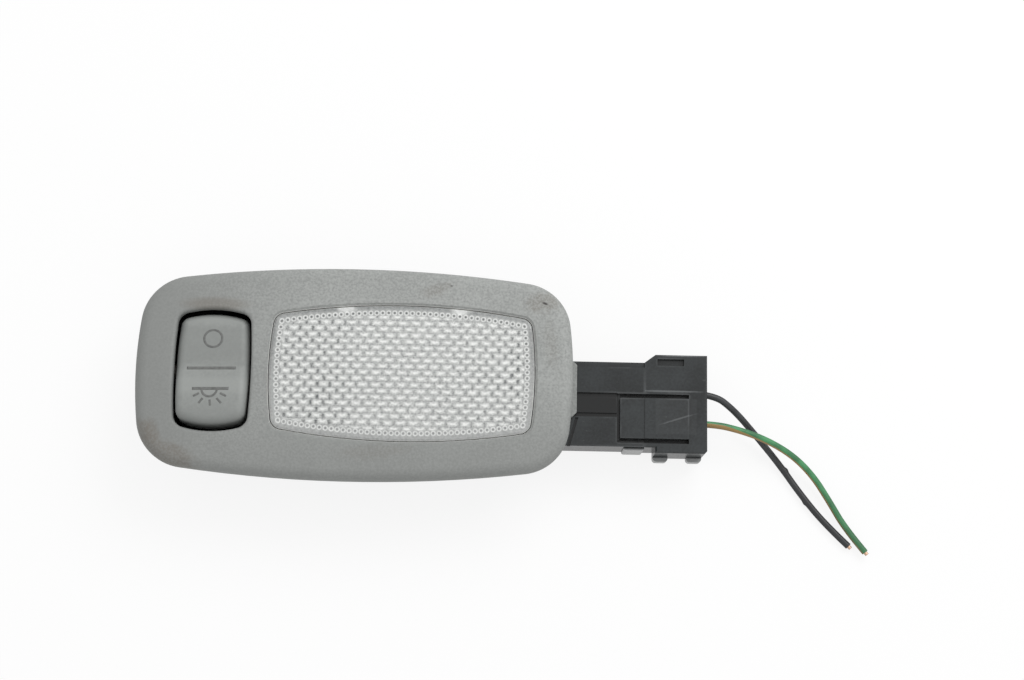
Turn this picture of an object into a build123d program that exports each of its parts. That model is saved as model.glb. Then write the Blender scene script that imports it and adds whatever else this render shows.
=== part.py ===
from build123d import *
import os
from math import asin, cos, degrees, pi, radians, sin, tan

# Car interior light lying on its back: X along its length, Y across, Z out of its face, all in mm.
# The origin is on the flat back of the rear housing, under the middle of the bezel.

# Heights of the seat on the headliner and of the front face
SEAT_Z = 17.0
CROWN_RISE = 4.8
DOME_ACROSS_R = 200.0
DOME_ALONG_R = 1600.0

# Bezel outline at its rear rim, its wall and its rounded front edge
BEZEL_LENGTH = 96.0
BEZEL_WIDTH = 47.3
BEZEL_END_BULGE = 2.07
BEZEL_SIDE_BULGE = 3.6
BEZEL_CORNER_R = 11.0
BEZEL_WALL = 2.0
BEZEL_EDGE_R = 2.6

# Collar behind the bezel and the snap windows in it
COLLAR_INSET = 3.5
COLLAR_WALL = 1.5
COLLAR_DEPTH = 6.0
COLLAR_CLEARANCE = 0.15
WINDOW_X = 26.0
WINDOW_LENGTH = 6.4
WINDOW_HEIGHT = 1.7
WINDOW_DROP = 3.1
NUB_PROUD = 0.8
NUB_CLEARANCE = 0.25

# Fixed hook on the collar's right end
HOOK_REACH = 4.6
HOOK_NORTH = 4.9
HOOK_SOUTH = -7.7
HOOK_DROP = 3.2
HOOK_THICKNESS = 1.5
HOOK_CORNER = 1.0

# Lens opening, ledge and lens
LENS_X = 10.4
LENS_LENGTH = 58.5
LENS_WIDTH = 30.4
LENS_END_BULGE = 1.0
LENS_SIDE_BULGE = 2.55
LENS_CORNER_R = 2.75
LENS_CLEARANCE = 0.2
LENS_SINK = 0.25
LENS_EDGE_R = 0.5
LENS_OPENING_CHAMFER = 0.45
LEDGE_RISE = 1.4
LEDGE_WIDTH = 0.9
LEDGE_THICKNESS = 1.2
FRAME_WALL = 1.4

# Lenslets and beads on the lens's inner face
CELL_LENGTH = 2.82
CELL_WIDTH = 1.38
CELL_LAND = 0.12
CELL_DEPTH = 0.5
CELL_SLOPE = 33.0
CELL_SHORTEST = 0.9
BEAD_PITCH = 1.32
BEAD_R = 0.58
BEAD_DEPTH = 0.45
BEAD_SLOPE = 30.0
BEAD_SIDES = 6
BEAD_INSET = 1.65
FIELD_MARGIN = 0.25

# Snap tabs of the lens
TAB_SPREAD = 25.1
TAB_WIDTH = 4.0
TAB_THICKNESS = 1.1
TAB_LENGTH = 2.6
TAB_CLEARANCE = 0.15
BARB_PROUD = 0.55
BARB_HEIGHT = 0.9

# Rocker opening, button and pivot
ROCKER_X = -31.0
ROCKER_OPENING_WIDTH = 16.95
ROCKER_OPENING_LENGTH = 27.15
ROCKER_SIDE_BULGE = 0.54
ROCKER_END_BULGE = 1.4
ROCKER_CORNER_R = 2.8
ROCKER_OPENING_EDGE_R = 0.7
ROCKER_SIDE_GAP = 0.5
ROCKER_END_GAP = 1.05
WELL_WALL = 1.4
WELL_DEPTH = 2.4
PIVOT_DROP = 0.2
ROCKER_TILT = 7.0
CREST_RISE = 4.5
CREST_OFFSET = 6.3
VALLEY_DIP = 0.5
VALLEY_R = 5.0
ROCKER_SKIRT = 1.9
ROCKER_WALL = 1.6
ROCKER_TOP_WALL = 1.7
ROCKER_EDGE_R = 1.9
TRUNNION_R = 1.5
TRUNNION_CLEARANCE = 0.05
TRUNNION_BITE = 1.1

# Plunger and spring in the rocker's stem
STEM_R = 2.7
STEM_REACH = 6.0
PLUNGER_R = 1.5
PLUNGER_CLEARANCE = 0.05
PLUNGER_REACH = 8.0
PLUNGER_SHOULDER = 4.0
SPIGOT_R = 0.7
SPIGOT_LENGTH = 1.0
SPRING_R = 1.15
SPRING_WIRE_R = 0.18
SPRING_TURNS = 6
SPRING_SEAT_GAP = 0.05

# See-saw contact and its fulcrum
BLADE_TILT = 6.0
BLADE_LENGTH = 17.4
BLADE_WIDTH = 5.0
BLADE_CORNER_R = 0.8
BLADE_SEAT = 0.12
BLADE_PLAY = 0.1
FULCRUM_CLEARANCE = 0.05
CONTACT_Y = 7.4
CONTACT_GAP = 0.12
RIVET_R = 1.5
RIVET_HEAD = 0.7
RIVET_EDGE_R = 0.4
RIVET_SHANK_R = 0.8
STOP_WIDTH = 3.6
STOP_DEPTH = 2.4

# Brass strips
STRIP_T = 0.64
STRIP_WIDTH = 3.0
STRIP_HOLE_CLEARANCE = 0.1
PAD_WIDTH = 5.0
PAD_DEPTH = 4.2
BEND_X = 38.4
RISER_X = 40.2
PIN_WIDTH = 2.3
PIN_END_X = 58.0
PIN_PITCH = 6.9
PIN_Z = 7.75
PIN_CLEARANCE = 0.05
PIN_MOUTH = 0.3
PIN_PLAY = 0.1
CLIP_WIDTH = 7.0
CLIP_RISE = 3.6
CLIP_HOLE_CLEARANCE = 0.05
STAKE_R = 0.9
STAKE_HEAD_R = 1.5
STAKE_HEAD = 0.5
STAKE_SPREAD = 34.0

# Festoon bulb
BULB_Z = 9.9
BULB_LENGTH = 41.0
GLASS_R = 5.2
GLASS_LENGTH = 24.0
GLASS_WALL = 0.6
GLASS_END_R = 1.4
CAP_R = 4.1
CAP_WALL = 0.35
NECK_LENGTH = 2.0
CAP_CLEARANCE = 0.05
CONE_BASE_R = 3.2
CONE_TIP_R = 1.2
CONE_LENGTH = 2.6
TIP_PROUD = 1.3
FILAMENT_R = 0.45
FILAMENT_LENGTH = 12.0
LEAD_R = 0.2

# Reflector bowl
BOWL_MOUTH_LENGTH = 53.0
BOWL_MOUTH_WIDTH = 24.6
BOWL_FLOOR_LENGTH = 46.0
BOWL_FLOOR_WIDTH = 12.0
BOWL_CORNER_R = 4.0
BOWL_WALL = 1.0
BOWL_FLOOR_Z = 3.4
FLANGE_THICKNESS = 1.0
FLANGE_LEFT = -20.6
FLANGE_CLEARANCE = 0.2
POST_R = 0.9
POST_SPREAD = 40.0
SLOT_CLEARANCE = 0.35

# Rear housing
TRAY_WALL = 1.5
TRAY_FLOOR = 1.8
TONGUE_HEIGHT = 3.4
BACK_EDGE_R = 2.0

# Leaf spring on the left end
LEAF_T = 0.6
LEAF_WIDTH = 11.0
LEAF_PAD_PROUD = 0.4
LEAF_PAD_MARGIN = 0.8
LEAF_LOW = 3.0
LEAF_HIGH = 9.4
LEAF_FOOT = 1.4
LEAF_BOW = 1.9
LEAF_TIP = 2.4
LEAF_BEND_R = 0.45
LEAF_LIFT = 2.9
LEAF_PEG_R = 1.1
LEAF_PEG_CLEARANCE = 0.15
LEAF_PEG_PROUD = 0.5

# Connector shroud on the rear housing
CONNECTOR_Y = -4.4
SHROUD_END_X = 64.4
SHROUD_WIDTH = 19.2
SHROUD_LOW = 3.4
SHROUD_HIGH = 12.0
SHROUD_WALL = 1.4
SHROUD_BOTTOM_X = 46.5
SHROUD_ROOT_GAP = 0.2
SHROUD_STEP = 1.2
SHROUD_STEP_DROP = 0.7
SHROUD_BEAD_LENGTH = 4.6
SHROUD_BEAD_PROUD = 0.6
SHROUD_BEAD_R = 0.5
CHANNEL_NORTH = -1.9
CHANNEL_SOUTH = -7.3
CHANNEL_START_X = 47.6
CHANNEL_DEPTH = 0.3
GROOVE_WIDTH = 0.9
GROOVE_DEPTH = 1.0
GUSSET_X = 48.9
GUSSET_LOW_X = 47.1
GUSSET_NORTH = -7.6
GUSSET_SLOT = 0.7
LATCH_WINDOW_X = 58.2

# Plug
PLUG_CLEARANCE = 0.15
PLUG_NOSE_X = 50.5
GRIP_X = 66.8
GRIP_END_X = 78.4
GRIP_NORTH = 7.0
GRIP_SOUTH = -15.2
GRIP_LOW = 2.6
GRIP_HIGH = 12.0
GRIP_CORNER = 0.6
GRIP_EDGE = 0.35
FOOT_PROUD = 1.1
FOOT_HEIGHT = 2.6
FOOT_LENGTH = 3.4
FOOT_R = 0.8
LATCH_X = 58.9
LATCH_NORTH = -3.0
LATCH_SOUTH = -12.1
LATCH_STEP = 0.3
LATCH_SLOT = 1.0
LATCH_TRENCH_Z = 9.3
LATCH_PROUD = 0.5
LATCH_SLOT_END_X = 74.3
LATCH_LIFT = 0.5
POCKET_X = 67.2
POCKET_LENGTH = 6.0
POCKET_WIDTH = 1.5
POCKET_DEPTH = 1.0
POCKET_INSET = 1.0

# Crimped terminals in the plug
TERMINAL_WIDTH = 3.0
TERMINAL_HEIGHT = 2.2
TERMINAL_START_X = 51.4
TERMINAL_BOX_END_X = 61.0
TERMINAL_CLEARANCE = 0.15
NECK_WIDTH = 1.4
NECK_HEIGHT = 1.0
CRIMP_X = 72.4
CRIMP_LENGTH = 3.4
CRIMP_R = 1.1

# Wires: outside radius, their holes in the plug, and the points that each route passes
WIRE_R = 0.75
WIRE_HOLE_CLEARANCE = 0.3
WIRE_CLEARANCE = 0.03
WIRE_START_X = 73.3
WIRE_BEND_X = 80.2
BLACK_ROUTE = [
    (85.2, -4.4, 6.3),
    (90.4, -9.3, 2.6),
    (96.0, -15.6, 1.0),
    (101.2, -22.9, 0.8),
    (106.6, -29.4, 0.8),
    (112.2, -34.6, 0.8),
]
GREEN_ROUTE = [
    (86.2, -9.0, 7.2),
    (92.6, -10.9, 5.6),
    (98.8, -14.0, 3.6),
    (103.6, -18.4, 2.2),
    (107.2, -23.9, 1.7),
    (111.0, -30.4, 1.5),
    (115.8, -36.0, 1.4),
]
ARC_SHARE = 0.45

# Places worked out from the sizes above
COLLAR_Z = SEAT_Z - COLLAR_DEPTH
CROWN_Z = SEAT_Z + CROWN_RISE
LENS_Z = SEAT_Z + LEDGE_RISE
LEDGE_Z = LENS_Z - LEDGE_THICKNESS
TONGUE_INSET = COLLAR_INSET + COLLAR_WALL + COLLAR_CLEARANCE
TONGUE_Z = COLLAR_Z + TONGUE_HEIGHT
PIVOT_Z = SEAT_Z - PIVOT_DROP
WELL_Z = SEAT_Z - WELL_DEPTH
FULCRUM_R = STRIP_T / 2
BLADE_TOP = BLADE_SEAT + STRIP_T
FULCRUM_Z = PIVOT_Z - PLUNGER_REACH - BLADE_PLAY - BLADE_TOP
STRIP_TOP = TRAY_FLOOR + STRIP_T
CLIP_X = BULB_LENGTH / 2 - TIP_PROUD
PIN_NORTH_Y = CONNECTOR_Y + PIN_PITCH / 2
PIN_SOUTH_Y = CONNECTOR_Y - PIN_PITCH / 2
BEZEL_OUTLINE = (BEZEL_LENGTH, BEZEL_WIDTH, BEZEL_END_BULGE, BEZEL_SIDE_BULGE, BEZEL_CORNER_R)
LENS_OUTLINE = (LENS_LENGTH, LENS_WIDTH, LENS_END_BULGE, LENS_SIDE_BULGE, LENS_CORNER_R)
ROCKER_OUTLINE = (
    ROCKER_OPENING_WIDTH,
    ROCKER_OPENING_LENGTH,
    ROCKER_SIDE_BULGE,
    ROCKER_END_BULGE,
    ROCKER_CORNER_R,
)
ROCKER_PLANE = Plane((ROCKER_X, 0, PIVOT_Z)).rotated((-ROCKER_TILT, 0, 0))
BLADE_PLANE = Plane((ROCKER_X, 0, FULCRUM_Z)).rotated((BLADE_TILT, 0, 0))


def barrel(outline, inset=0.0):
    """Sketch where four round discs overlap, its corners rounded, with every side drawn in by inset."""
    length, width, end_bulge, side_bulge, corner_r = outline
    side_r = ((length / 2 - end_bulge) ** 2 + side_bulge**2) / (2 * side_bulge)
    end_r = ((width / 2 - side_bulge) ** 2 + end_bulge**2) / (2 * end_bulge)
    with BuildSketch(mode=Mode.PRIVATE) as shape:
        with Locations((0, width / 2 - side_r)):
            Circle(side_r - inset)
        with Locations((0, side_r - width / 2)):
            Circle(side_r - inset, mode=Mode.INTERSECT)
        with Locations((end_r - length / 2, 0)):
            Circle(end_r - inset, mode=Mode.INTERSECT)
        with Locations(Location((length / 2 - end_r, 0), 90)):
            Circle(end_r - inset, mode=Mode.INTERSECT)
        fillet(shape.vertices(), corner_r - inset)
    return shape.sketch


def under_dome(depth_below):
    """Solid under the front face's double curve, lowered by depth_below, to trim a straight blank."""
    along = DOME_ALONG_R - depth_below
    across = DOME_ACROSS_R - depth_below
    half_turn = degrees(asin(BEZEL_LENGTH / DOME_ALONG_R))
    half_width = BEZEL_WIDTH
    edge_drop = across - (across**2 - half_width**2) ** 0.5
    turn_z = CROWN_Z - DOME_ALONG_R
    lean = radians(half_turn)
    start = Plane(
        origin=(-along * sin(lean), 0, turn_z + along * cos(lean)),
        x_dir=(0, 1, 0),
        z_dir=(cos(lean), 0, sin(lean)),
    )
    with BuildPart(mode=Mode.PRIVATE) as dome:
        with BuildSketch(start):
            with BuildLine():
                ThreePointArc((-half_width, -edge_drop), (0, 0), (half_width, -edge_drop))
                Polyline(
                    (half_width, -edge_drop),
                    (half_width, -2 * CROWN_Z),
                    (-half_width, -2 * CROWN_Z),
                    (-half_width, -edge_drop),
                )
            make_face()
        revolve(axis=Axis((0, 0, turn_z), (0, 1, 0)), revolution_arc=2 * half_turn)
    return dome.part


def front_face(builder):
    """The large doubly curved face of a part."""
    return builder.faces().filter_by(GeomType.TORUS).sort_by(SortBy.AREA)[-1]


def opening_edges(builder, x):
    """Edges of the front face's opening whose middle lies nearest to x."""
    wires = front_face(builder).inner_wires()
    return wires.sort_by(lambda wire: abs(wire.center(CenterOf.BOUNDING_BOX).X - x))[0].edges()


# Hollow under the bezel's front wall
with BuildPart() as bezel_hollow:
    with BuildSketch(Plane.XY.offset(SEAT_Z)):
        add(barrel(BEZEL_OUTLINE, BEZEL_WALL))
    extrude(amount=CROWN_RISE)
    add(under_dome(BEZEL_WALL), mode=Mode.INTERSECT)

# Collar, lens frame and switch well that stand behind the bezel's front wall
with BuildPart() as bezel_back:
    with BuildSketch(Plane.XY.offset(COLLAR_Z)):
        add(barrel(BEZEL_OUTLINE, COLLAR_INSET))
        add(barrel(BEZEL_OUTLINE, COLLAR_INSET + COLLAR_WALL), mode=Mode.SUBTRACT)
    extrude(amount=COLLAR_DEPTH + CROWN_RISE)
    with BuildSketch(Plane.XY.offset(LEDGE_Z)):
        with Locations((LENS_X, 0)):
            add(barrel(LENS_OUTLINE, -FRAME_WALL))
    extrude(amount=CROWN_Z - LEDGE_Z)
    with BuildSketch(Plane.XY.offset(WELL_Z)):
        with Locations((ROCKER_X, 0)):
            add(barrel(ROCKER_OUTLINE, -WELL_WALL))
    extrude(amount=CROWN_Z - WELL_Z)
    add(under_dome(BEZEL_WALL / 2), mode=Mode.INTERSECT)

# Bezel: domed front shell, its back walls, the two openings, pivot holes, snap windows and hook
with BuildPart() as bezel:
    with BuildSketch(Plane.XY.offset(SEAT_Z)):
        add(barrel(BEZEL_OUTLINE))
    extrude(amount=CROWN_RISE)
    add(under_dome(0.0), mode=Mode.INTERSECT)
    fillet(front_face(bezel).edges(), BEZEL_EDGE_R)
    add(bezel_hollow.part, mode=Mode.SUBTRACT)
    add(bezel_back.part)
    with BuildSketch(Plane.XY.offset(LENS_Z)):
        with Locations((LENS_X, 0)):
            add(barrel(LENS_OUTLINE))
    extrude(amount=CROWN_RISE, mode=Mode.SUBTRACT)
    with BuildSketch(Plane.XY.offset(LEDGE_Z)):
        with Locations((LENS_X, 0)):
            add(barrel(LENS_OUTLINE, LEDGE_WIDTH))
    extrude(amount=LEDGE_THICKNESS, mode=Mode.SUBTRACT)
    with BuildSketch(Plane.XY.offset(WELL_Z)):
        with Locations((ROCKER_X, 0)):
            add(barrel(ROCKER_OUTLINE))
    extrude(amount=CROWN_Z - WELL_Z, mode=Mode.SUBTRACT)
    chamfer(opening_edges(bezel, LENS_X), LENS_OPENING_CHAMFER)
    fillet(opening_edges(bezel, ROCKER_X), ROCKER_OPENING_EDGE_R)
    with BuildSketch(Plane.YZ.offset(ROCKER_X)):
        with Locations((0, PIVOT_Z)):
            Circle(TRUNNION_R + TRUNNION_CLEARANCE)
    extrude(amount=ROCKER_OPENING_WIDTH / 2 + WELL_WALL, both=True, mode=Mode.SUBTRACT)
    with BuildSketch(Plane.XY.offset(SEAT_Z - WINDOW_DROP - WINDOW_HEIGHT)):
        with GridLocations(2 * WINDOW_X, BEZEL_WIDTH - 2 * COLLAR_INSET, 2, 2):
            Rectangle(WINDOW_LENGTH, 2 * (COLLAR_WALL + BEZEL_SIDE_BULGE))
    extrude(amount=WINDOW_HEIGHT, mode=Mode.SUBTRACT)
    with BuildSketch(Plane.XY.offset(SEAT_Z - HOOK_DROP - HOOK_THICKNESS)) as hook_shape:
        hook_root = BEZEL_LENGTH / 2 - COLLAR_INSET - COLLAR_WALL / 2
        hook_tip = BEZEL_LENGTH / 2 - COLLAR_INSET + HOOK_REACH
        with Locations(((hook_root + hook_tip) / 2, (HOOK_NORTH + HOOK_SOUTH) / 2)):
            Rectangle(hook_tip - hook_root, HOOK_NORTH - HOOK_SOUTH)
        chamfer(hook_shape.vertices().group_by(Axis.X)[-1], HOOK_CORNER)
    extrude(amount=HOOK_THICKNESS)

# Lenslets: rows of cells laid like bricks, cut short where a row meets the field's edge
field_inset = BEAD_INSET + BEAD_R + FIELD_MARGIN
field_half_length = LENS_LENGTH / 2 - LENS_CLEARANCE - field_inset
field_half_width = LENS_WIDTH / 2 - LENS_CLEARANCE - field_inset
row_count = 2 * int(field_half_width / CELL_WIDTH) + 3
column_count = 2 * int(field_half_length / CELL_LENGTH) + 4
cells = []
for row in range(row_count):
    row_y = (row - (row_count - 1) / 2) * CELL_WIDTH
    row_end = field_half_length - LENS_END_BULGE * (row_y / field_half_width) ** 2
    for column in range(column_count):
        cell_x = (column - column_count / 2 + row % 2 / 2) * CELL_LENGTH
        side = field_half_width - LENS_SIDE_BULGE * (cell_x / field_half_length) ** 2
        left = max(cell_x - CELL_LENGTH / 2 + CELL_LAND / 2, -row_end)
        right = min(cell_x + CELL_LENGTH / 2 - CELL_LAND / 2, row_end)
        low = max(row_y - CELL_WIDTH / 2 + CELL_LAND / 2, -side)
        high = min(row_y + CELL_WIDTH / 2 - CELL_LAND / 2, side)
        if min(right - left, high - low) >= CELL_SHORTEST:
            cells.append((left, low, right, high))

# Beads along a line inside the lens's edge, left out where a snap tab stands
bead_line = barrel(LENS_OUTLINE, LENS_CLEARANCE + BEAD_INSET).wire()
bead_count = round(bead_line.length / BEAD_PITCH)
bead_points = [bead_line.position_at(bead / bead_count) for bead in range(bead_count)]
tab_y = LENS_WIDTH / 2 - LEDGE_WIDTH - TAB_CLEARANCE
tab_keep_out = TAB_WIDTH / 2 + BEAD_R
beads = [
    point
    for point in bead_points
    if abs(abs(point.X) - TAB_SPREAD / 2) > tab_keep_out or abs(point.Y) < tab_y - 3 * BEAD_R
]

lens_under = Plane((LENS_X, 0, LENS_Z), x_dir=(1, 0, 0), z_dir=(0, 0, -1))


def lenslet(length, width):
    """Pillow with sloping sides, hanging from the lens's inner face at the middle of the opening."""
    with BuildPart(mode=Mode.PRIVATE) as pillow:
        with BuildSketch(lens_under):
            Rectangle(length, width)
        extrude(amount=CELL_DEPTH, taper=CELL_SLOPE)
    return pillow.part


with BuildPart() as bead:
    with BuildSketch(lens_under):
        RegularPolygon(BEAD_R, BEAD_SIDES)
    extrude(amount=BEAD_DEPTH, taper=BEAD_SLOPE)

# Lens: domed plate with four snap tabs, and lenslets and beads on its inner face
tab_x = TAB_SPREAD / 2
lens_corner_x = LENS_LENGTH / 2 - LENS_END_BULGE
tab_edge = tab_y - LENS_SIDE_BULGE * ((tab_x + TAB_WIDTH / 2) / lens_corner_x) ** 2
barb_top = LEDGE_Z - TAB_CLEARANCE
relief = [lenslet(right - left, high - low).moved(Pos((left + right) / 2, (low + high) / 2, 0))
          for left, low, right, high in cells]
relief += [bead.part.moved(Pos(point.X, point.Y, 0)) for point in beads]
with BuildPart() as lens:
    with BuildSketch(Plane.XY.offset(LENS_Z)):
        with Locations((LENS_X, 0)):
            add(barrel(LENS_OUTLINE, LENS_CLEARANCE))
    extrude(amount=CROWN_RISE)
    add(under_dome(LENS_SINK), mode=Mode.INTERSECT)
    fillet(front_face(lens).edges(), LENS_EDGE_R)
    for way in (1, -1):
        for x in (LENS_X - tab_x, LENS_X + tab_x):
            with BuildSketch(Plane.YZ.offset(x)):
                with BuildLine():
                    Polyline(
                        (way * tab_edge, LENS_Z),
                        (way * tab_edge, barb_top),
                        (way * (tab_edge + BARB_PROUD), barb_top),
                        (way * tab_edge, barb_top - BARB_HEIGHT),
                        (way * tab_edge, LENS_Z - TAB_LENGTH),
                        (way * (tab_edge - TAB_THICKNESS), LENS_Z - TAB_LENGTH),
                        (way * (tab_edge - TAB_THICKNESS), LENS_Z),
                        close=True,
                    )
                make_face()
            extrude(amount=TAB_WIDTH / 2, both=True)
    add(relief, clean=False)

# Rocker button, tipped to its off position: two soft pads with a dip between them
rocker_half_width = ROCKER_OPENING_WIDTH / 2 - ROCKER_SIDE_GAP
rocker_half_length = ROCKER_OPENING_LENGTH / 2 - ROCKER_END_GAP
button_outline = (
    2 * rocker_half_width,
    2 * rocker_half_length,
    ROCKER_SIDE_BULGE,
    ROCKER_END_BULGE,
    ROCKER_CORNER_R - ROCKER_SIDE_GAP,
)
rocker_side = Plane(ROCKER_PLANE.origin, x_dir=ROCKER_PLANE.y_dir, z_dir=ROCKER_PLANE.x_dir)
radii_sum = (CREST_OFFSET**2 + VALLEY_DIP**2) / (2 * VALLEY_DIP)
pad_r = radii_sum - VALLEY_R
valley_turn = degrees(asin(CREST_OFFSET / radii_sum))
pad_turn = valley_turn + degrees(asin(rocker_half_length / pad_r))
hollow_top = CREST_RISE - VALLEY_DIP - ROCKER_TOP_WALL
with BuildPart() as rocker_button:
    with BuildSketch(ROCKER_PLANE.offset(-ROCKER_SKIRT)):
        add(barrel(button_outline))
    extrude(amount=ROCKER_SKIRT + 2 * CREST_RISE)
    with BuildSketch(rocker_side):
        with BuildLine():
            dip = JernArc((0, CREST_RISE - VALLEY_DIP), (1, 0), VALLEY_R, valley_turn)
            pad = JernArc(dip @ 1, dip % 1, pad_r, -pad_turn)
            Polyline(pad @ 1, ((pad @ 1).X, -2 * ROCKER_SKIRT), (0, -2 * ROCKER_SKIRT))
            mirror(about=Plane.YZ)
        make_face()
    extrude(amount=ROCKER_OPENING_WIDTH, both=True, mode=Mode.INTERSECT)
    top_faces = rocker_button.faces().filter_by(
        lambda face: face.normal_at().dot(ROCKER_PLANE.z_dir) > cos(radians(pad_turn))
    )
    fillet(top_faces.edges().filter_by(GeomType.LINE, reverse=True), ROCKER_EDGE_R)
    with BuildSketch(ROCKER_PLANE.offset(-ROCKER_SKIRT)):
        add(barrel(button_outline, ROCKER_WALL))
    extrude(amount=ROCKER_SKIRT + hollow_top, mode=Mode.SUBTRACT)
    with BuildSketch(ROCKER_PLANE.offset(-STEM_REACH)):
        Circle(STEM_R)
    extrude(amount=STEM_REACH + hollow_top)
    with BuildSketch(ROCKER_PLANE.offset(-STEM_REACH)):
        Circle(PLUNGER_R + PLUNGER_CLEARANCE)
    extrude(amount=STEM_REACH + hollow_top, mode=Mode.SUBTRACT)
    for way in (1, -1):
        side = Plane(ROCKER_PLANE.origin, x_dir=ROCKER_PLANE.y_dir, z_dir=ROCKER_PLANE.x_dir * way)
        with BuildSketch(side.offset(rocker_half_width - ROCKER_WALL)):
            Circle(TRUNNION_R)
        extrude(amount=ROCKER_WALL + ROCKER_SIDE_GAP + TRUNNION_BITE)

# Plunger in the stem: round-nosed pin with a spigot for the spring
with BuildPart() as switch_plunger:
    with BuildSketch(rocker_side):
        with BuildLine():
            RadiusArc((PLUNGER_R, PLUNGER_R - PLUNGER_REACH), (0, -PLUNGER_REACH), PLUNGER_R)
            Polyline(
                (0, -PLUNGER_REACH),
                (0, SPIGOT_LENGTH - PLUNGER_SHOULDER),
                (SPIGOT_R, SPIGOT_LENGTH - PLUNGER_SHOULDER),
                (SPIGOT_R, -PLUNGER_SHOULDER),
                (PLUNGER_R, -PLUNGER_SHOULDER),
                (PLUNGER_R, PLUNGER_R - PLUNGER_REACH),
            )
        make_face()
    revolve(axis=Axis(ROCKER_PLANE.origin, ROCKER_PLANE.z_dir))

# Coil spring between the plunger's shoulder and the end of the stem's bore
spring_low = SPRING_WIRE_R + SPRING_SEAT_GAP - PLUNGER_SHOULDER
spring_height = hollow_top - SPRING_WIRE_R - SPRING_SEAT_GAP - spring_low
with BuildPart() as switch_spring:
    with BuildLine() as coil:
        spring_seat = ROCKER_PLANE.offset(spring_low)
        Helix(spring_height / SPRING_TURNS, spring_height, SPRING_R, spring_seat.origin, spring_seat.z_dir)
    with BuildSketch(Plane(coil.line ^ 0)):
        Circle(SPRING_WIRE_R)
    sweep(path=coil.line, is_frenet=True)

# See-saw contact, tipped clear of the fixed contact, with a groove that sits on the fulcrum
with BuildPart() as contact_blade:
    with BuildSketch(BLADE_PLANE.offset(BLADE_SEAT)):
        RectangleRounded(BLADE_WIDTH, BLADE_LENGTH, BLADE_CORNER_R)
    extrude(amount=STRIP_T)
    with BuildSketch(Plane.YZ.offset(ROCKER_X)):
        with Locations((0, FULCRUM_Z)):
            Circle(FULCRUM_R + FULCRUM_CLEARANCE)
    extrude(amount=BLADE_WIDTH, both=True, mode=Mode.SUBTRACT)

# Fixed contact: rivet through the supply strip's pad, just clear of the tipped blade
blade_lean = radians(BLADE_TILT)
blade_under = FULCRUM_Z + BLADE_SEAT * cos(blade_lean) - CONTACT_GAP
rivet_top = blade_under - (CONTACT_Y + RIVET_R) * sin(blade_lean)
pad_top = rivet_top - RIVET_HEAD
with BuildPart() as contact_rivet:
    with BuildSketch(Plane.XY.offset(pad_top)):
        with Locations((ROCKER_X, CONTACT_Y)):
            Circle(RIVET_R)
    extrude(amount=RIVET_HEAD)
    fillet(contact_rivet.edges().group_by(Axis.Z)[-1], RIVET_EDGE_R)
    with BuildSketch(Plane.XY.offset(pad_top - STRIP_T)):
        with Locations((ROCKER_X, CONTACT_Y)):
            Circle(RIVET_SHANK_R)
    extrude(amount=STRIP_T)

# Brass strips: flat runs on the tray's floor, with legs, pins and bulb clips bent up from them
pad_edge_y = CONTACT_Y + PAD_DEPTH / 2
supply_y = pad_edge_y + STRIP_WIDTH / 2
switch_y = STRIP_WIDTH / 2 - FULCRUM_R
strip_left = ROCKER_X - PAD_WIDTH / 2
clip_right_x = LENS_X + CLIP_X
clip_left_x = LENS_X - CLIP_X
ground_bend_x = clip_right_x + STRIP_T + STRIP_WIDTH
clip_top = BULB_Z + CLIP_RISE
cone_r_at_clip = CONE_TIP_R + (CONE_BASE_R - CONE_TIP_R) * TIP_PROUD / CONE_LENGTH
supply_stakes = [(LENS_X - STAKE_SPREAD / 2, supply_y), (LENS_X + STAKE_SPREAD / 2, supply_y)]
switch_stakes = [((ROCKER_X + clip_left_x) / 2, switch_y)]
ground_stakes = [(ground_bend_x, PIN_SOUTH_Y / 2)]


def floor_run(points, stakes):
    """Flat strip along points on the tray's floor, with holes for its stakes."""
    with BuildPart() as run:
        with BuildSketch(Plane.XY.offset(TRAY_FLOOR)):
            with BuildLine():
                Polyline(*points)
            trace(line_width=STRIP_WIDTH)
            with Locations(stakes):
                Circle(STAKE_R + STRIP_HOLE_CLEARANCE, mode=Mode.SUBTRACT)
        extrude(amount=STRIP_T)
    return run.part


def riser_and_pin(y):
    """Leg that stands at the tray's right end and the pin that runs on into the shroud."""
    with BuildPart() as leg:
        with BuildSketch(Plane.YZ.offset(RISER_X)):
            with Locations((y, TRAY_FLOOR)):
                Rectangle(STRIP_WIDTH, PIN_Z + STRIP_T / 2 - TRAY_FLOOR, align=(Align.CENTER, Align.MIN))
        extrude(amount=STRIP_T)
        with BuildSketch(Plane.YZ.offset(RISER_X)):
            with Locations((y, PIN_Z)):
                Rectangle(PIN_WIDTH, STRIP_T)
        extrude(amount=PIN_END_X - RISER_X)
    return leg.part


def bulb_clip(inner_x, way):
    """Upright plate, bored for the tip of the bulb's cap, standing outwards from inner_x."""
    with BuildPart() as plate:
        with BuildSketch(Plane.YZ.offset(inner_x)):
            with Locations((0, TRAY_FLOOR)):
                Rectangle(CLIP_WIDTH, clip_top - TRAY_FLOOR, align=(Align.CENTER, Align.MIN))
            with Locations((0, BULB_Z)):
                Circle(cone_r_at_clip + CLIP_HOLE_CLEARANCE, mode=Mode.SUBTRACT)
        extrude(amount=way * STRIP_T)
    return plate.part


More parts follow.
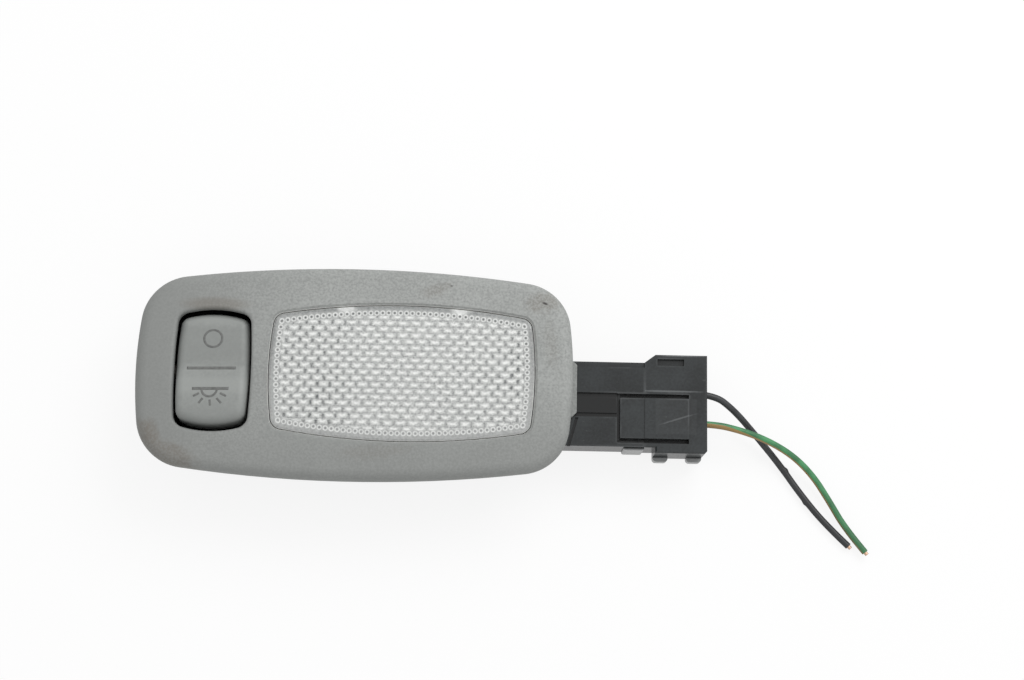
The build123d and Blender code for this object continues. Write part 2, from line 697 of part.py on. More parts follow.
with BuildPart() as supply_busbar:
    supply_points = [(strip_left, supply_y), (BEND_X, supply_y)]
    supply_points += [(BEND_X, PIN_NORTH_Y), (RISER_X + STRIP_T, PIN_NORTH_Y)]
    add(floor_run(supply_points, supply_stakes))
    add(riser_and_pin(PIN_NORTH_Y))
    with BuildSketch(Plane.XY.offset(TRAY_FLOOR)):
        with Locations((ROCKER_X, pad_edge_y)):
            Rectangle(PAD_WIDTH, STRIP_T, align=(Align.CENTER, Align.MIN))
    extrude(amount=pad_top - TRAY_FLOOR)
    with BuildSketch(Plane.XY.offset(pad_top - STRIP_T)):
        with Locations((ROCKER_X, pad_edge_y)):
            Rectangle(PAD_WIDTH, PAD_DEPTH, align=(Align.CENTER, Align.MAX))
        with Locations((ROCKER_X, CONTACT_Y)):
            Circle(RIVET_SHANK_R + CLIP_HOLE_CLEARANCE, mode=Mode.SUBTRACT)
    extrude(amount=STRIP_T)

with BuildPart() as switch_busbar:
    add(floor_run([(strip_left, switch_y), (clip_left_x, switch_y)], switch_stakes))
    add(bulb_clip(clip_left_x, -1))
    with BuildSketch(Plane.YZ.offset(strip_left)):
        with Locations((0, TRAY_FLOOR)):
            Rectangle(STRIP_T, FULCRUM_Z - TRAY_FLOOR, align=(Align.CENTER, Align.MIN))
        with Locations((0, FULCRUM_Z)):
            Circle(FULCRUM_R)
    extrude(amount=PAD_WIDTH)

with BuildPart() as ground_busbar:
    ground_points = [(clip_right_x, 0), (ground_bend_x, 0)]
    ground_points += [(ground_bend_x, PIN_SOUTH_Y), (RISER_X + STRIP_T, PIN_SOUTH_Y)]
    add(floor_run(ground_points, ground_stakes))
    add(bulb_clip(clip_right_x, 1))
    add(riser_and_pin(PIN_SOUTH_Y))

# Festoon bulb, turned about its own axis along X
bulb_side = Plane((LENS_X, 0, BULB_Z), x_dir=(1, 0, 0), z_dir=(0, -1, 0))
bulb_axis = Axis((LENS_X, 0, BULB_Z), (1, 0, 0))
glass_end = GLASS_LENGTH / 2
neck_r = CAP_R - CAP_WALL - CAP_CLEARANCE
neck_end = glass_end + NECK_LENGTH
cone_start = BULB_LENGTH / 2 - CONE_LENGTH
cap_end = cone_start - CAP_WALL
with BuildPart() as bulb_glass:
    with BuildSketch(bulb_side) as glass_shape:
        with BuildLine():
            Polyline(
                (0, GLASS_R),
                (glass_end, GLASS_R),
                (glass_end, neck_r),
                (neck_end, neck_r),
                (neck_end, neck_r - GLASS_WALL),
                (glass_end - GLASS_WALL, neck_r - GLASS_WALL),
                (glass_end - GLASS_WALL, GLASS_R - GLASS_WALL),
                (0, GLASS_R - GLASS_WALL),
                (0, GLASS_R),
            )
        make_face()
        shoulder = glass_shape.vertices().sort_by_distance((glass_end, GLASS_R))[0]
        fillet(shoulder, GLASS_END_R)
        shoulder = glass_shape.vertices().sort_by_distance((glass_end - GLASS_WALL, GLASS_R - GLASS_WALL))[0]
        fillet(shoulder, GLASS_END_R - GLASS_WALL)
        mirror(about=Plane.YZ)
    revolve(axis=bulb_axis)


def bulb_cap(way):
    """Metal cup with a conical tip, at the end of the bulb that way points to."""
    with BuildPart() as cap:
        with BuildSketch(bulb_side):
            with BuildLine():
                Polyline(
                    (way * glass_end, CAP_R),
                    (way * cone_start, CAP_R),
                    (way * cone_start, CONE_BASE_R),
                    (way * BULB_LENGTH / 2, CONE_TIP_R),
                    (way * BULB_LENGTH / 2, 0),
                    (way * cap_end, 0),
                    (way * cap_end, CAP_R - CAP_WALL),
                    (way * glass_end, CAP_R - CAP_WALL),
                    close=True,
                )
            make_face()
        revolve(axis=bulb_axis)
    return cap.part


# Filament: a coil drawn as a rod, on two straight leads that end on the caps
with BuildPart() as bulb_filament:
    with BuildSketch(bulb_side):
        with BuildLine():
            Polyline(
                (-cap_end, 0),
                (-cap_end, LEAD_R),
                (-FILAMENT_LENGTH / 2, LEAD_R),
                (-FILAMENT_LENGTH / 2, FILAMENT_R),
                (FILAMENT_LENGTH / 2, FILAMENT_R),
                (FILAMENT_LENGTH / 2, LEAD_R),
                (cap_end, LEAD_R),
                (cap_end, 0),
                close=True,
            )
        make_face()
    revolve(axis=bulb_axis)

# Reflector: bowl under the lens, its flange on the tray's rim and posts up to the lens frame
post_y = LENS_WIDTH / 2 - LENS_SIDE_BULGE * (POST_SPREAD / (LENS_LENGTH - 2 * LENS_END_BULGE)) ** 2
flange_top = TONGUE_Z + FLANGE_THICKNESS
slot_width = STRIP_T + 2 * SLOT_CLEARANCE
with BuildPart() as bowl_hollow:
    with BuildSketch(Plane.XY.offset(flange_top)):
        with Locations((LENS_X, 0)):
            RectangleRounded(BOWL_MOUTH_LENGTH, BOWL_MOUTH_WIDTH, BOWL_CORNER_R)
    with BuildSketch(Plane.XY.offset(BOWL_FLOOR_Z + BOWL_WALL)):
        with Locations((LENS_X, 0)):
            RectangleRounded(BOWL_FLOOR_LENGTH, BOWL_FLOOR_WIDTH, BOWL_CORNER_R)
    loft()
with BuildPart() as reflector:
    with BuildSketch(Plane.XY.offset(flange_top - BOWL_WALL)):
        with Locations((LENS_X, 0)):
            RectangleRounded(
                BOWL_MOUTH_LENGTH + 2 * BOWL_WALL,
                BOWL_MOUTH_WIDTH + 2 * BOWL_WALL,
                BOWL_CORNER_R + BOWL_WALL,
            )
    with BuildSketch(Plane.XY.offset(BOWL_FLOOR_Z)):
        with Locations((LENS_X, 0)):
            RectangleRounded(
                BOWL_FLOOR_LENGTH + 2 * BOWL_WALL,
                BOWL_FLOOR_WIDTH + 2 * BOWL_WALL,
                BOWL_CORNER_R + BOWL_WALL,
            )
    loft()
    with BuildSketch(Plane.XY.offset(TONGUE_Z)):
        with Locations((FLANGE_LEFT, 0)):
            Rectangle(BEZEL_LENGTH, BEZEL_WIDTH, align=(Align.MIN, Align.CENTER))
        add(barrel(BEZEL_OUTLINE, COLLAR_INSET + COLLAR_WALL + FLANGE_CLEARANCE), mode=Mode.INTERSECT)
    extrude(amount=FLANGE_THICKNESS)
    with BuildSketch(Plane.XY.offset(flange_top)):
        with Locations((LENS_X, 0)):
            with GridLocations(POST_SPREAD, 2 * post_y, 2, 2):
                Circle(POST_R)
    extrude(amount=LEDGE_Z - flange_top)
    add(bowl_hollow.part, mode=Mode.SUBTRACT)
    with BuildSketch(Plane.XY.offset(BOWL_FLOOR_Z)):
        with Locations((LENS_X, 0)):
            with GridLocations(2 * CLIP_X + STRIP_T, 0, 2, 1):
                Rectangle(slot_width, CLIP_WIDTH + 2 * SLOT_CLEARANCE)
    extrude(amount=BOWL_WALL, mode=Mode.SUBTRACT)

# Rear housing: tray that plugs into the collar, with the connector shroud at its right end
body_end = BEZEL_LENGTH / 2 - COLLAR_INSET
shroud_north = CONNECTOR_Y + SHROUD_WIDTH / 2
shroud_south = CONNECTOR_Y - SHROUD_WIDTH / 2
stop_top = blade_under - (CONTACT_Y + STOP_DEPTH / 2) * sin(blade_lean)
leaf_face_x = -body_end - LEAF_PAD_PROUD
leaf_middle_z = (LEAF_LOW + LEAF_HIGH) / 2
latch_room = (LATCH_SOUTH - LATCH_SLOT, LATCH_NORTH + LATCH_SLOT)


def block(x_span, y_span, z_span):
    """Rectangular block between two places on each axis."""
    with BuildPart() as bar:
        with BuildSketch(Plane.XY.offset(z_span[0])):
            with Locations((x_span[0], y_span[0])):
                Rectangle(x_span[1] - x_span[0], y_span[1] - y_span[0], align=(Align.MIN, Align.MIN))
        extrude(amount=z_span[1] - z_span[0])
    return bar.part


def lug(x_span, y_span, z_span, radius):
    """Block whose two southern upright edges are rounded."""
    with BuildPart() as bar:
        add(block(x_span, y_span, z_span))
        fillet(bar.edges().filter_by(Axis.Z).group_by(Axis.Y)[0], radius)
    return bar.part


with BuildPart() as rear_housing:
    with BuildSketch():
        add(barrel(BEZEL_OUTLINE, COLLAR_INSET))
    extrude(amount=COLLAR_Z)
    fillet(rear_housing.edges().group_by(Axis.Z)[0], BACK_EDGE_R)
    with BuildSketch(Plane.XY.offset(COLLAR_Z)):
        add(barrel(BEZEL_OUTLINE, TONGUE_INSET))
    extrude(amount=TONGUE_HEIGHT)
    with BuildSketch(Plane.XY.offset(SEAT_Z - WINDOW_DROP - WINDOW_HEIGHT + NUB_CLEARANCE)):
        with GridLocations(2 * WINDOW_X, BEZEL_WIDTH - 2 * TONGUE_INSET, 2, 2):
            Rectangle(WINDOW_LENGTH - 2 * NUB_CLEARANCE, 2 * (TRAY_WALL + BEZEL_SIDE_BULGE))
        add(barrel(BEZEL_OUTLINE, TONGUE_INSET - NUB_PROUD), mode=Mode.INTERSECT)
    extrude(amount=WINDOW_HEIGHT - 2 * NUB_CLEARANCE)
    shroud_y = (shroud_south, shroud_north)
    add(block((body_end - TRAY_WALL, SHROUD_END_X), shroud_y, (SHROUD_LOW, COLLAR_Z)))
    add(block((body_end + SHROUD_ROOT_GAP, SHROUD_END_X), shroud_y, (COLLAR_Z, SHROUD_HIGH)))
    bead_low = (shroud_south - SHROUD_BEAD_PROUD, shroud_south)
    bead_x = (SHROUD_END_X - SHROUD_BEAD_LENGTH, SHROUD_END_X)
    add(lug(bead_x, bead_low, (SHROUD_LOW, COLLAR_Z), SHROUD_BEAD_R))
    leaf_pad_y = LEAF_WIDTH / 2 + LEAF_PAD_MARGIN
    leaf_pad_z = (LEAF_LOW, LEAF_HIGH + LEAF_PAD_MARGIN)
    add(block((leaf_face_x, LEAF_PAD_PROUD - body_end), (-leaf_pad_y, leaf_pad_y), leaf_pad_z))
    with BuildSketch(Plane.YZ.offset(leaf_face_x)):
        with Locations((0, leaf_middle_z)):
            Circle(LEAF_PEG_R)
    extrude(amount=-LEAF_T - LEAF_PEG_PROUD)
    with BuildSketch(Plane.XY.offset(TRAY_FLOOR)):
        add(barrel(BEZEL_OUTLINE, TONGUE_INSET + TRAY_WALL))
    extrude(amount=TONGUE_Z - TRAY_FLOOR, mode=Mode.SUBTRACT)
    with BuildSketch(Plane.XY.offset(TRAY_FLOOR)):
        add(barrel(BEZEL_OUTLINE, COLLAR_INSET + TRAY_WALL))
    extrude(amount=COLLAR_Z - TRAY_WALL - TRAY_FLOOR, mode=Mode.SUBTRACT)
    with BuildSketch(Plane.XY.offset(TRAY_FLOOR)):
        with Locations(supply_stakes + switch_stakes + ground_stakes):
            Circle(STAKE_R)
    extrude(amount=STRIP_T)
    with BuildSketch(Plane.XY.offset(STRIP_TOP)):
        with Locations(supply_stakes + switch_stakes + ground_stakes):
            Circle(STAKE_HEAD_R)
    extrude(amount=STAKE_HEAD)
    stop_y = (-CONTACT_Y - STOP_DEPTH / 2, STOP_DEPTH / 2 - CONTACT_Y)
    add(block((ROCKER_X - STOP_WIDTH / 2, ROCKER_X + STOP_WIDTH / 2), stop_y, (TRAY_FLOOR, stop_top)))
    cavity_y = (shroud_south + SHROUD_WALL, shroud_north - SHROUD_WALL)
    cavity_z = (SHROUD_LOW + SHROUD_WALL, SHROUD_HIGH - SHROUD_WALL)
    add(block((SHROUD_BOTTOM_X, SHROUD_END_X), cavity_y, cavity_z), mode=Mode.SUBTRACT)
    step_z = (SHROUD_HIGH - SHROUD_STEP_DROP, SHROUD_HIGH)
    step_y = (shroud_north - SHROUD_STEP, shroud_north)
    add(block((body_end, SHROUD_END_X), step_y, step_z), mode=Mode.SUBTRACT)
    channel_z = (SHROUD_HIGH - CHANNEL_DEPTH, SHROUD_HIGH)
    channel_y = (CHANNEL_SOUTH, CHANNEL_NORTH)
    add(block((CHANNEL_START_X, LATCH_WINDOW_X), channel_y, channel_z), mode=Mode.SUBTRACT)
    groove_z = (SHROUD_HIGH - GROOVE_DEPTH, SHROUD_HIGH)
    for groove_y in (CHANNEL_SOUTH, CHANNEL_NORTH - GROOVE_WIDTH):
        groove_span = (groove_y, groove_y + GROOVE_WIDTH)
        add(block((CHANNEL_START_X, LATCH_WINDOW_X), groove_span, groove_z), mode=Mode.SUBTRACT)
    with BuildSketch(Plane.XY.offset(SHROUD_HIGH)):
        with BuildLine():
            Polyline(
                (GUSSET_X, GUSSET_NORTH),
                (GUSSET_X + GUSSET_SLOT, GUSSET_NORTH),
                (GUSSET_LOW_X + GUSSET_SLOT, shroud_south),
                (GUSSET_LOW_X, shroud_south),
                close=True,
            )
        make_face()
    extrude(amount=-GROOVE_DEPTH, mode=Mode.SUBTRACT)
    add(block((LATCH_WINDOW_X, SHROUD_END_X), latch_room, (cavity_z[1], SHROUD_HIGH)), mode=Mode.SUBTRACT)
    with BuildSketch(Plane.YZ.offset(RISER_X)):
        with Locations((PIN_NORTH_Y, PIN_Z), (PIN_SOUTH_Y, PIN_Z)):
            Rectangle(PIN_WIDTH + 2 * PIN_CLEARANCE, STRIP_T + 2 * PIN_CLEARANCE)
    extrude(amount=SHROUD_BOTTOM_X - RISER_X, mode=Mode.SUBTRACT)

# Leaf spring: one leg flat on the housing's pad, the other bowed out to grip the cut-out
leaf_x = leaf_face_x - LEAF_T / 2
leaf_bow_z = SEAT_Z - HOOK_DROP - LEAF_LIFT
with BuildPart() as mounting_spring:
    with BuildSketch(Plane.XZ):
        with BuildLine():
            FilletPolyline(
                (leaf_x, LEAF_HIGH),
                (leaf_x, LEAF_LOW),
                (leaf_x - LEAF_FOOT, LEAF_LOW),
                (leaf_x - LEAF_BOW, leaf_bow_z),
                (leaf_x - LEAF_FOOT / 2, leaf_bow_z + LEAF_TIP),
                radius=LEAF_BEND_R,
            )
        trace(line_width=LEAF_T)
    extrude(amount=LEAF_WIDTH / 2, both=True)
    with BuildSketch(Plane.YZ.offset(leaf_face_x)):
        with Locations((0, leaf_middle_z)):
            Circle(LEAF_PEG_R + LEAF_PEG_CLEARANCE)
    extrude(amount=-LEAF_T, mode=Mode.SUBTRACT)

# Plug: nose in the shroud, wider grip behind it, latch arm on top, and feet along its south edge
nose_y = (cavity_y[0] + PLUG_CLEARANCE, cavity_y[1] - PLUG_CLEARANCE)
nose_z = (cavity_z[0] + PLUG_CLEARANCE, cavity_z[1] - PLUG_CLEARANCE)
arm_z = (nose_z[1] + LATCH_LIFT, GRIP_HIGH + LATCH_PROUD)
trench_z = (LATCH_TRENCH_Z, GRIP_HIGH)
terminal_room = (TERMINAL_WIDTH + 2 * TERMINAL_CLEARANCE, TERMINAL_HEIGHT + 2 * TERMINAL_CLEARANCE)
terminal_spots = [(PIN_NORTH_Y, PIN_Z), (PIN_SOUTH_Y, PIN_Z)]
crimp_end = CRIMP_X + CRIMP_LENGTH
with BuildPart() as plug_housing:
    with BuildSketch(Plane.XY.offset(GRIP_LOW)):
        with BuildLine():
            Polyline(
                (SHROUD_END_X, shroud_north),
                (GRIP_X, GRIP_NORTH),
                (GRIP_END_X, GRIP_NORTH),
                (GRIP_END_X, GRIP_SOUTH + GRIP_CORNER),
                (GRIP_END_X - GRIP_CORNER, GRIP_SOUTH),
                (GRIP_X, GRIP_SOUTH),
                (GRIP_X, shroud_south),
                (SHROUD_END_X, shroud_south),
                close=True,
            )
        make_face()
    extrude(amount=GRIP_HIGH - GRIP_LOW)
    chamfer(plug_housing.edges().group_by(Axis.Z)[-1].sort_by(Axis.X)[1:], GRIP_EDGE)
    add(block((PLUG_NOSE_X, SHROUD_END_X), nose_y, nose_z))
    add(block((SHROUD_END_X, LATCH_SLOT_END_X), latch_room, (nose_z[1], GRIP_HIGH)), mode=Mode.SUBTRACT)
    for trench_y in (LATCH_SOUTH - LATCH_SLOT, LATCH_NORTH):
        trench_span = (trench_y, trench_y + LATCH_SLOT)
        add(block((LATCH_X, LATCH_SLOT_END_X), trench_span, trench_z), mode=Mode.SUBTRACT)
    add(block((LATCH_X, SHROUD_END_X), (LATCH_SOUTH, LATCH_NORTH), (arm_z[0], arm_z[1] - LATCH_STEP)))
    add(block((SHROUD_END_X, LATCH_SLOT_END_X), (LATCH_SOUTH, LATCH_NORTH), arm_z))
    pocket_y = (GRIP_NORTH - POCKET_INSET - POCKET_WIDTH, GRIP_NORTH - POCKET_INSET)
    pocket_z = (GRIP_HIGH - POCKET_DEPTH, GRIP_HIGH)
    add(block((POCKET_X, POCKET_X + POCKET_LENGTH), pocket_y, pocket_z), mode=Mode.SUBTRACT)
    for foot_x in (GRIP_X, GRIP_END_X - GRIP_CORNER - FOOT_LENGTH):
        foot_y = (GRIP_SOUTH - FOOT_PROUD, GRIP_SOUTH)
        add(lug((foot_x, foot_x + FOOT_LENGTH), foot_y, (GRIP_LOW, GRIP_LOW + FOOT_HEIGHT), FOOT_R))
    with BuildSketch(Plane.YZ.offset(TERMINAL_START_X - TERMINAL_CLEARANCE)):
        with Locations(terminal_spots):
            Rectangle(*terminal_room)
    extrude(amount=crimp_end + 2 * TERMINAL_CLEARANCE - TERMINAL_START_X, mode=Mode.SUBTRACT)
    with BuildSketch(Plane.YZ.offset(PLUG_NOSE_X)):
        with Locations(terminal_spots):
            Rectangle(PIN_WIDTH + 2 * PIN_MOUTH, STRIP_T + 2 * PIN_MOUTH)
    extrude(amount=TERMINAL_START_X - PLUG_NOSE_X, mode=Mode.SUBTRACT)
    with BuildSketch(Plane.YZ.offset(crimp_end)):
        with Locations(terminal_spots):
            Circle(WIRE_R + WIRE_HOLE_CLEARANCE)
    extrude(amount=GRIP_END_X - crimp_end, mode=Mode.SUBTRACT)


def terminal(y):
    """Box that takes the pin, a neck, and a crimped barrel round the wire's end."""
    with BuildPart() as socket:
        with BuildSketch(Plane.YZ.offset(TERMINAL_START_X)):
            with Locations((y, PIN_Z)):
                Rectangle(TERMINAL_WIDTH, TERMINAL_HEIGHT)
                Rectangle(PIN_WIDTH + 2 * PIN_PLAY, STRIP_T + 2 * PIN_PLAY, mode=Mode.SUBTRACT)
        extrude(amount=TERMINAL_BOX_END_X - TERMINAL_START_X)
        with BuildSketch(Plane.YZ.offset(TERMINAL_BOX_END_X)):
            with Locations((y, PIN_Z)):
                Rectangle(NECK_WIDTH, NECK_HEIGHT)
        extrude(amount=WIRE_START_X - TERMINAL_BOX_END_X)
        with BuildSketch(Plane.YZ.offset(CRIMP_X)):
            with Locations((y, PIN_Z)):
                Circle(CRIMP_R)
        extrude(amount=CRIMP_LENGTH)
        with BuildSketch(Plane.YZ.offset(WIRE_START_X)):
            with Locations((y, PIN_Z)):
                Circle(WIRE_R + WIRE_CLEARANCE)
        extrude(amount=crimp_end - WIRE_START_X, mode=Mode.SUBTRACT)
    return socket.part


def lead(name, y, route):
    """Wire from its crimp along route: straight runs joined by arcs as large as the runs allow."""
    points = [Vector(WIRE_START_X, y, PIN_Z), Vector(WIRE_BEND_X, y, PIN_Z)]
    points += [Vector(*point) for point in route]
    runs = [after - before for before, after in zip(points, points[1:])]
    radii = [
        ARC_SHARE * min(run.length, following.length) / tan(radians(run.get_angle(following) / 2))
        for run, following in zip(runs, runs[1:])
    ]
    with BuildPart() as tube:
        with BuildLine() as path:
            FilletPolyline(*points, radius=radii)
        with BuildSketch(Plane.YZ.offset(WIRE_START_X)):
            with Locations((y, PIN_Z)):
                Circle(WIRE_R)
        sweep(path=path.wire())
    length = path.wire().length
    print(name, "arc radii", [round(radius, 1) for radius in radii], "length", round(length, 1))
    print(name, "volume over section times length", round(tube.part.volume / (pi * WIRE_R**2 * length), 4))
    return tube.part


# Every piece in its own file, under the name it is known by
pieces = {
    "bezel": bezel.part,
    "lens": lens.part,
    "rocker_button": rocker_button.part,
    "switch_plunger": switch_plunger.part,
    "switch_spring": switch_spring.part,
    "contact_blade": contact_blade.part,
    "contact_rivet": contact_rivet.part,
    "supply_busbar": supply_busbar.part,
    "switch_busbar": switch_busbar.part,
    "ground_busbar": ground_busbar.part,
    "bulb_glass": bulb_glass.part,
    "bulb_cap_left": bulb_cap(-1),
    "bulb_cap_right": bulb_cap(1),
    "bulb_filament": bulb_filament.part,
    "reflector": reflector.part,
    "rear_housing": rear_housing.part,
    "mounting_spring": mounting_spring.part,
    "plug_housing": plug_housing.part,
    "supply_terminal": terminal(PIN_NORTH_Y),
    "ground_terminal": terminal(PIN_SOUTH_Y),
    "black_wire": lead("black_wire", PIN_NORTH_Y, BLACK_ROUTE),
    "green_wire": lead("green_wire", PIN_SOUTH_Y, GREEN_ROUTE),
}
os.makedirs("parts", exist_ok=True)
for label, piece in pieces.items():
    piece.label = label
    export_step(piece, f"parts/{label}.step")
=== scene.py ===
from math import radians

import bpy
import numpy as np
from bpy.props import FloatProperty, FloatVectorProperty, PointerProperty
from mathutils import Matrix


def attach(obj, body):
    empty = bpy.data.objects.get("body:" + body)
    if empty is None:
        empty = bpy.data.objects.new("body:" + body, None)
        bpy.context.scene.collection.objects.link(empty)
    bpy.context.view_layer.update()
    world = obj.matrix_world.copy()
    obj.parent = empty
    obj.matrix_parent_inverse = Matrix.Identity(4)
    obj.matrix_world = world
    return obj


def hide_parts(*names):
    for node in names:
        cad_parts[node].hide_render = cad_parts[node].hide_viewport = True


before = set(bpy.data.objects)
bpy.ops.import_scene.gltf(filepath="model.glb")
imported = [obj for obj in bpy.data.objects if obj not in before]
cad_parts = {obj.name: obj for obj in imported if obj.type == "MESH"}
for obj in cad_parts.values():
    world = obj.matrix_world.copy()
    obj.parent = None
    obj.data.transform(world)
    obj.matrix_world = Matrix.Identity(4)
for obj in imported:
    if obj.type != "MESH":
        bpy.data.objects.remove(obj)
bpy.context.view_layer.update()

bl_info = {
    "name": "Car interior light",
    "version": (1, 0, 0),
    "blender": (4, 5, 0),
    "location": "View3D > Sidebar > Light",
    "description": "Finishes a car interior light: wires, lens, switch signs and plastics",
    "category": "Object",
}

MM = 0.001
WHITE = (1.0, 1.0, 1.0, 1.0)

# Rocker's place and the curve of its top, as the part's source has them, in millimetres
ROCKER_X = -31.0
ROCKER_HALF_WIDTH = 8.0
PIVOT_Z = 16.8
ROCKER_TILT = radians(7.0)
CREST_RISE = 4.5
CREST_OFFSET = 6.3
VALLEY_DIP = 0.5
VALLEY_R = 5.0
# Pivot pins beside the button, painted dark as shade in the gap round it: their reach outwards and to each side
PIN_REACH = 5.0
PIN_HALF_WIDTH = 3.0

# Routes of the two wires, as the part's source has them, in millimetres
BLACK_ROUTE = (
    (73.3, -0.95, 7.75),
    (80.2, -0.95, 7.75),
    (85.2, -4.4, 6.3),
    (90.4, -9.3, 2.6),
    (96.0, -15.6, 1.0),
    (101.2, -22.9, 0.8),
    (106.6, -29.4, 0.8),
    (112.2, -34.6, 0.8),
)
GREEN_ROUTE = (
    (73.3, -7.85, 7.75),
    (80.2, -7.85, 7.75),
    (86.2, -9.0, 7.2),
    (92.6, -10.9, 5.6),
    (98.8, -14.0, 3.6),
    (103.6, -18.4, 2.2),
    (107.2, -23.9, 1.7),
    (111.0, -30.4, 1.5),
    (115.8, -36.0, 1.4),
)

# Tube of a wire: steps between two points of its route, points along the sleeve and the core, points round it,
# the core's share of the radius, and how close to the cut the rows before, at and after it lie, in metres
LINE_STEPS = 24
SLEEVE_ROWS = 260
CORE_ROWS = 6
WIRE_COLUMNS = 28
CORE_SHARE = 0.58
BEFORE_CUT, CUT_STEP, AFTER_CUT = 2e-5, 1e-6, 5e-5
WIRE_UV = "along"
# Nicks on the black wire: share of its length, angle round it and share of the nicks' height
BLACK_NICKS = ((0.58, 3.0, 1.0), (0.735, 0.2, 0.9))
NICK_REACH = 0.00055
# Tracer on the green wire: its middle and soft edge in turns round it, wider over a length from the plug
TRACER_TURN = 0.47
TRACER_EDGE = (0.135, 0.165)
TRACER_WIDE_LENGTH = (0.007, 0.020)
TRACER_EXTRA = 0.16
# Share of a wire's length over which it gets darker towards its cut end
DARKER_END_SPAN = (0.62, 0.92)

# Lens and the pattern on it, as the part's source has them, in millimetres
LENS_X = 10.4
LENS_LENGTH = 58.5
LENS_WIDTH = 30.4
LENS_END_BULGE = 1.0
LENS_SIDE_BULGE = 2.55
LENS_CLEARANCE = 0.2
LENS_CORNER_R = 2.75
LENS_SIDE_R = ((LENS_LENGTH / 2 - LENS_END_BULGE) ** 2 + LENS_SIDE_BULGE**2) / (2 * LENS_SIDE_BULGE)
LENS_END_R = ((LENS_WIDTH / 2 - LENS_SIDE_BULGE) ** 2 + LENS_END_BULGE**2) / (2 * LENS_END_BULGE)
CELL_LENGTH = 2.82
CELL_WIDTH = 1.38
BEAD_INSET = 1.65
BEAD_PITCH = 1.32
FIELD_INSET = 2.5
TAB_SPREAD = 25.1

# Light on a cell of the lens: limits run from 0 at its middle to 1 at its edge
GLINT_ALONG, GLINT_ACROSS = (0.1, 0.8), (0.05, 0.62)
GLINT_DROP, GLINT_BEND = 0.1, 0.45
PILLOW_ALONG, PILLOW_ACROSS = (0.55, 0.95), (0.4, 1.0)
TICK_ALONG, TICK_ACROSS, TICK_DROP = (0.60, 0.95), (0.35, 0.95), 0.15
SEAM_ALONG, SEAM_ACROSS = (0.35, 0.75), (0.72, 1.0)
CELL_TONE, PILLOW_GAIN, GLINT_GAIN = 0.51, 0.15, 0.36
TICK_GAIN, SEAM_GAIN, SPARKLE_GAIN = 0.25, 0.16, 1.3
# Cells wander by these shares of their size, and their ticks get darker away from this place along the lens
STRAY_ALONG, STRAY_ACROSS = 0.2, 0.35
CALM_X, CALM_REACH = 2.0, (4.0, 24.0)

# Light on the beads and on the border they stand in, in millimetres
BEAD_RING_R, BEAD_RING, BEAD_HOLLOW = 0.46, (0.04, 0.24), (0.08, 0.36)
BEAD_OWN_SIDE = (0.1, 0.4)
BORDER_TONE, RING_GAIN, BORDER_GRAIN = 0.42, 0.36, 0.6
HOLLOW_SPAN, HOLLOW_GAINS = (-12.0, 12.0), (0.12, 0.32)
SHADE_DEPTH, SHADE_SPAN, SHADE_GAINS = (0.3, 1.5), (-6.0, 8.0), (0.02, 0.2)
RIM_DEPTH, RIM_GAIN = (0.2, 0.5), 0.4
FIELD_EDGE = (FIELD_INSET - 0.25, FIELD_INSET + 0.25)
# Bright spots of the north snap tabs, in metres: place across and up, reach, and gain in tone
TAB_Y, TAB_Z, TAB_REACH, TAB_GAIN = 0.0143, 0.0208, 0.0026, 0.5

# Depth outside the lens opening at which the bezel's wall is painted pale, painted light in the gap round the lens,
# and how sharply its corners begin
GAP_LIGHT_DEPTH = (-0.06, -0.02)
CORNER_EDGE = (0.0, 0.02)

# Signs on the button: across it, and along it from its pivot, in millimetres
RING_PLACE = (-0.13, 6.4)
MIDDLE_BAR = ((-5.49, -0.36), (5.17, -0.12))
LAMP_BAR = ((-4.02, -5.12), (3.89, -4.94))
LAMP_PLACE = (-0.30, -5.17)
LAMP_R = 1.65
LAMP_RAYS = (
    ((-0.07, -7.54), (0.12, -8.87)),
    ((-2.43, -6.13), (-3.68, -6.83)),
    ((-1.60, -7.24), (-2.40, -8.37)),
    ((2.11, -6.03), (3.45, -6.68)),
    ((1.43, -7.17), (2.46, -8.27)),
)
# Section of a sign: shares of its width at its foot and its top, and how far its foot is sunk
SIGN_SECTION = (-0.5, -0.42, 0.42, 0.5)
SIGN_SUNK = -0.05
# Points along the ring, the lamp's arch and a straight line
RING_POINTS, ARCH_POINTS, BAR_POINTS = 64, 28, 24

# Spots, in metres: centre, reach, stretch, turn, raggedness of the edge, its grain, and depth of tone
SOIL_SPOTS = (
    ((-0.0440, -0.0142, 0.0195), 0.0042, (0.8, 1.2, 1.0), 0.5, 0.5, 0.0030, 0.46),
    ((-0.0400, -0.0186, 0.0195), 0.0060, (1.5, 0.6, 1.0), -0.4, 0.5, 0.0030, 0.40),
    ((0.0410, 0.0165, 0.0205), 0.0040, (1.3, 0.8, 1.0), 0.2, 0.6, 0.0012, 0.3),
    ((0.0176, 0.0187, 0.0204), 0.0032, (1.6, 0.6, 1.0), 0.3, 0.6, 0.0012, 0.2),
    ((0.0429, 0.0070, 0.0204), 0.0050, (0.4, 1.4, 1.0), 0.15, 0.6, 0.0012, 0.14),
    ((0.0044, -0.0174, 0.0200), 0.0060, (1.8, 0.4, 1.0), 0.1, 0.6, 0.0015, 0.14),
)
# Painted shade along the north edge of the button's well, where the bezel's edge falls away from the light
WELL_SHADE = (((-0.0310, 0.0145, 0.0210), 0.0030, (3.2, 0.75, 1.0), 0.0, 0.0, 0.001, 0.35),)
DARK_MARKS = (
    ((0.0415, 0.0163, 0.0205), 0.0010, (0.9, 0.35, 1.0), -0.35, 0.35, 0.0005, 1.0),
    ((0.0208, 0.0198, 0.0205), 0.00045, (1.0, 0.7, 1.0), 0.0, 0.3, 0.0004, 0.8),
    ((-0.0012, -0.0196, 0.0195), 0.0004, (1.0, 0.7, 1.0), 0.0, 0.3, 0.0004, 0.5),
)
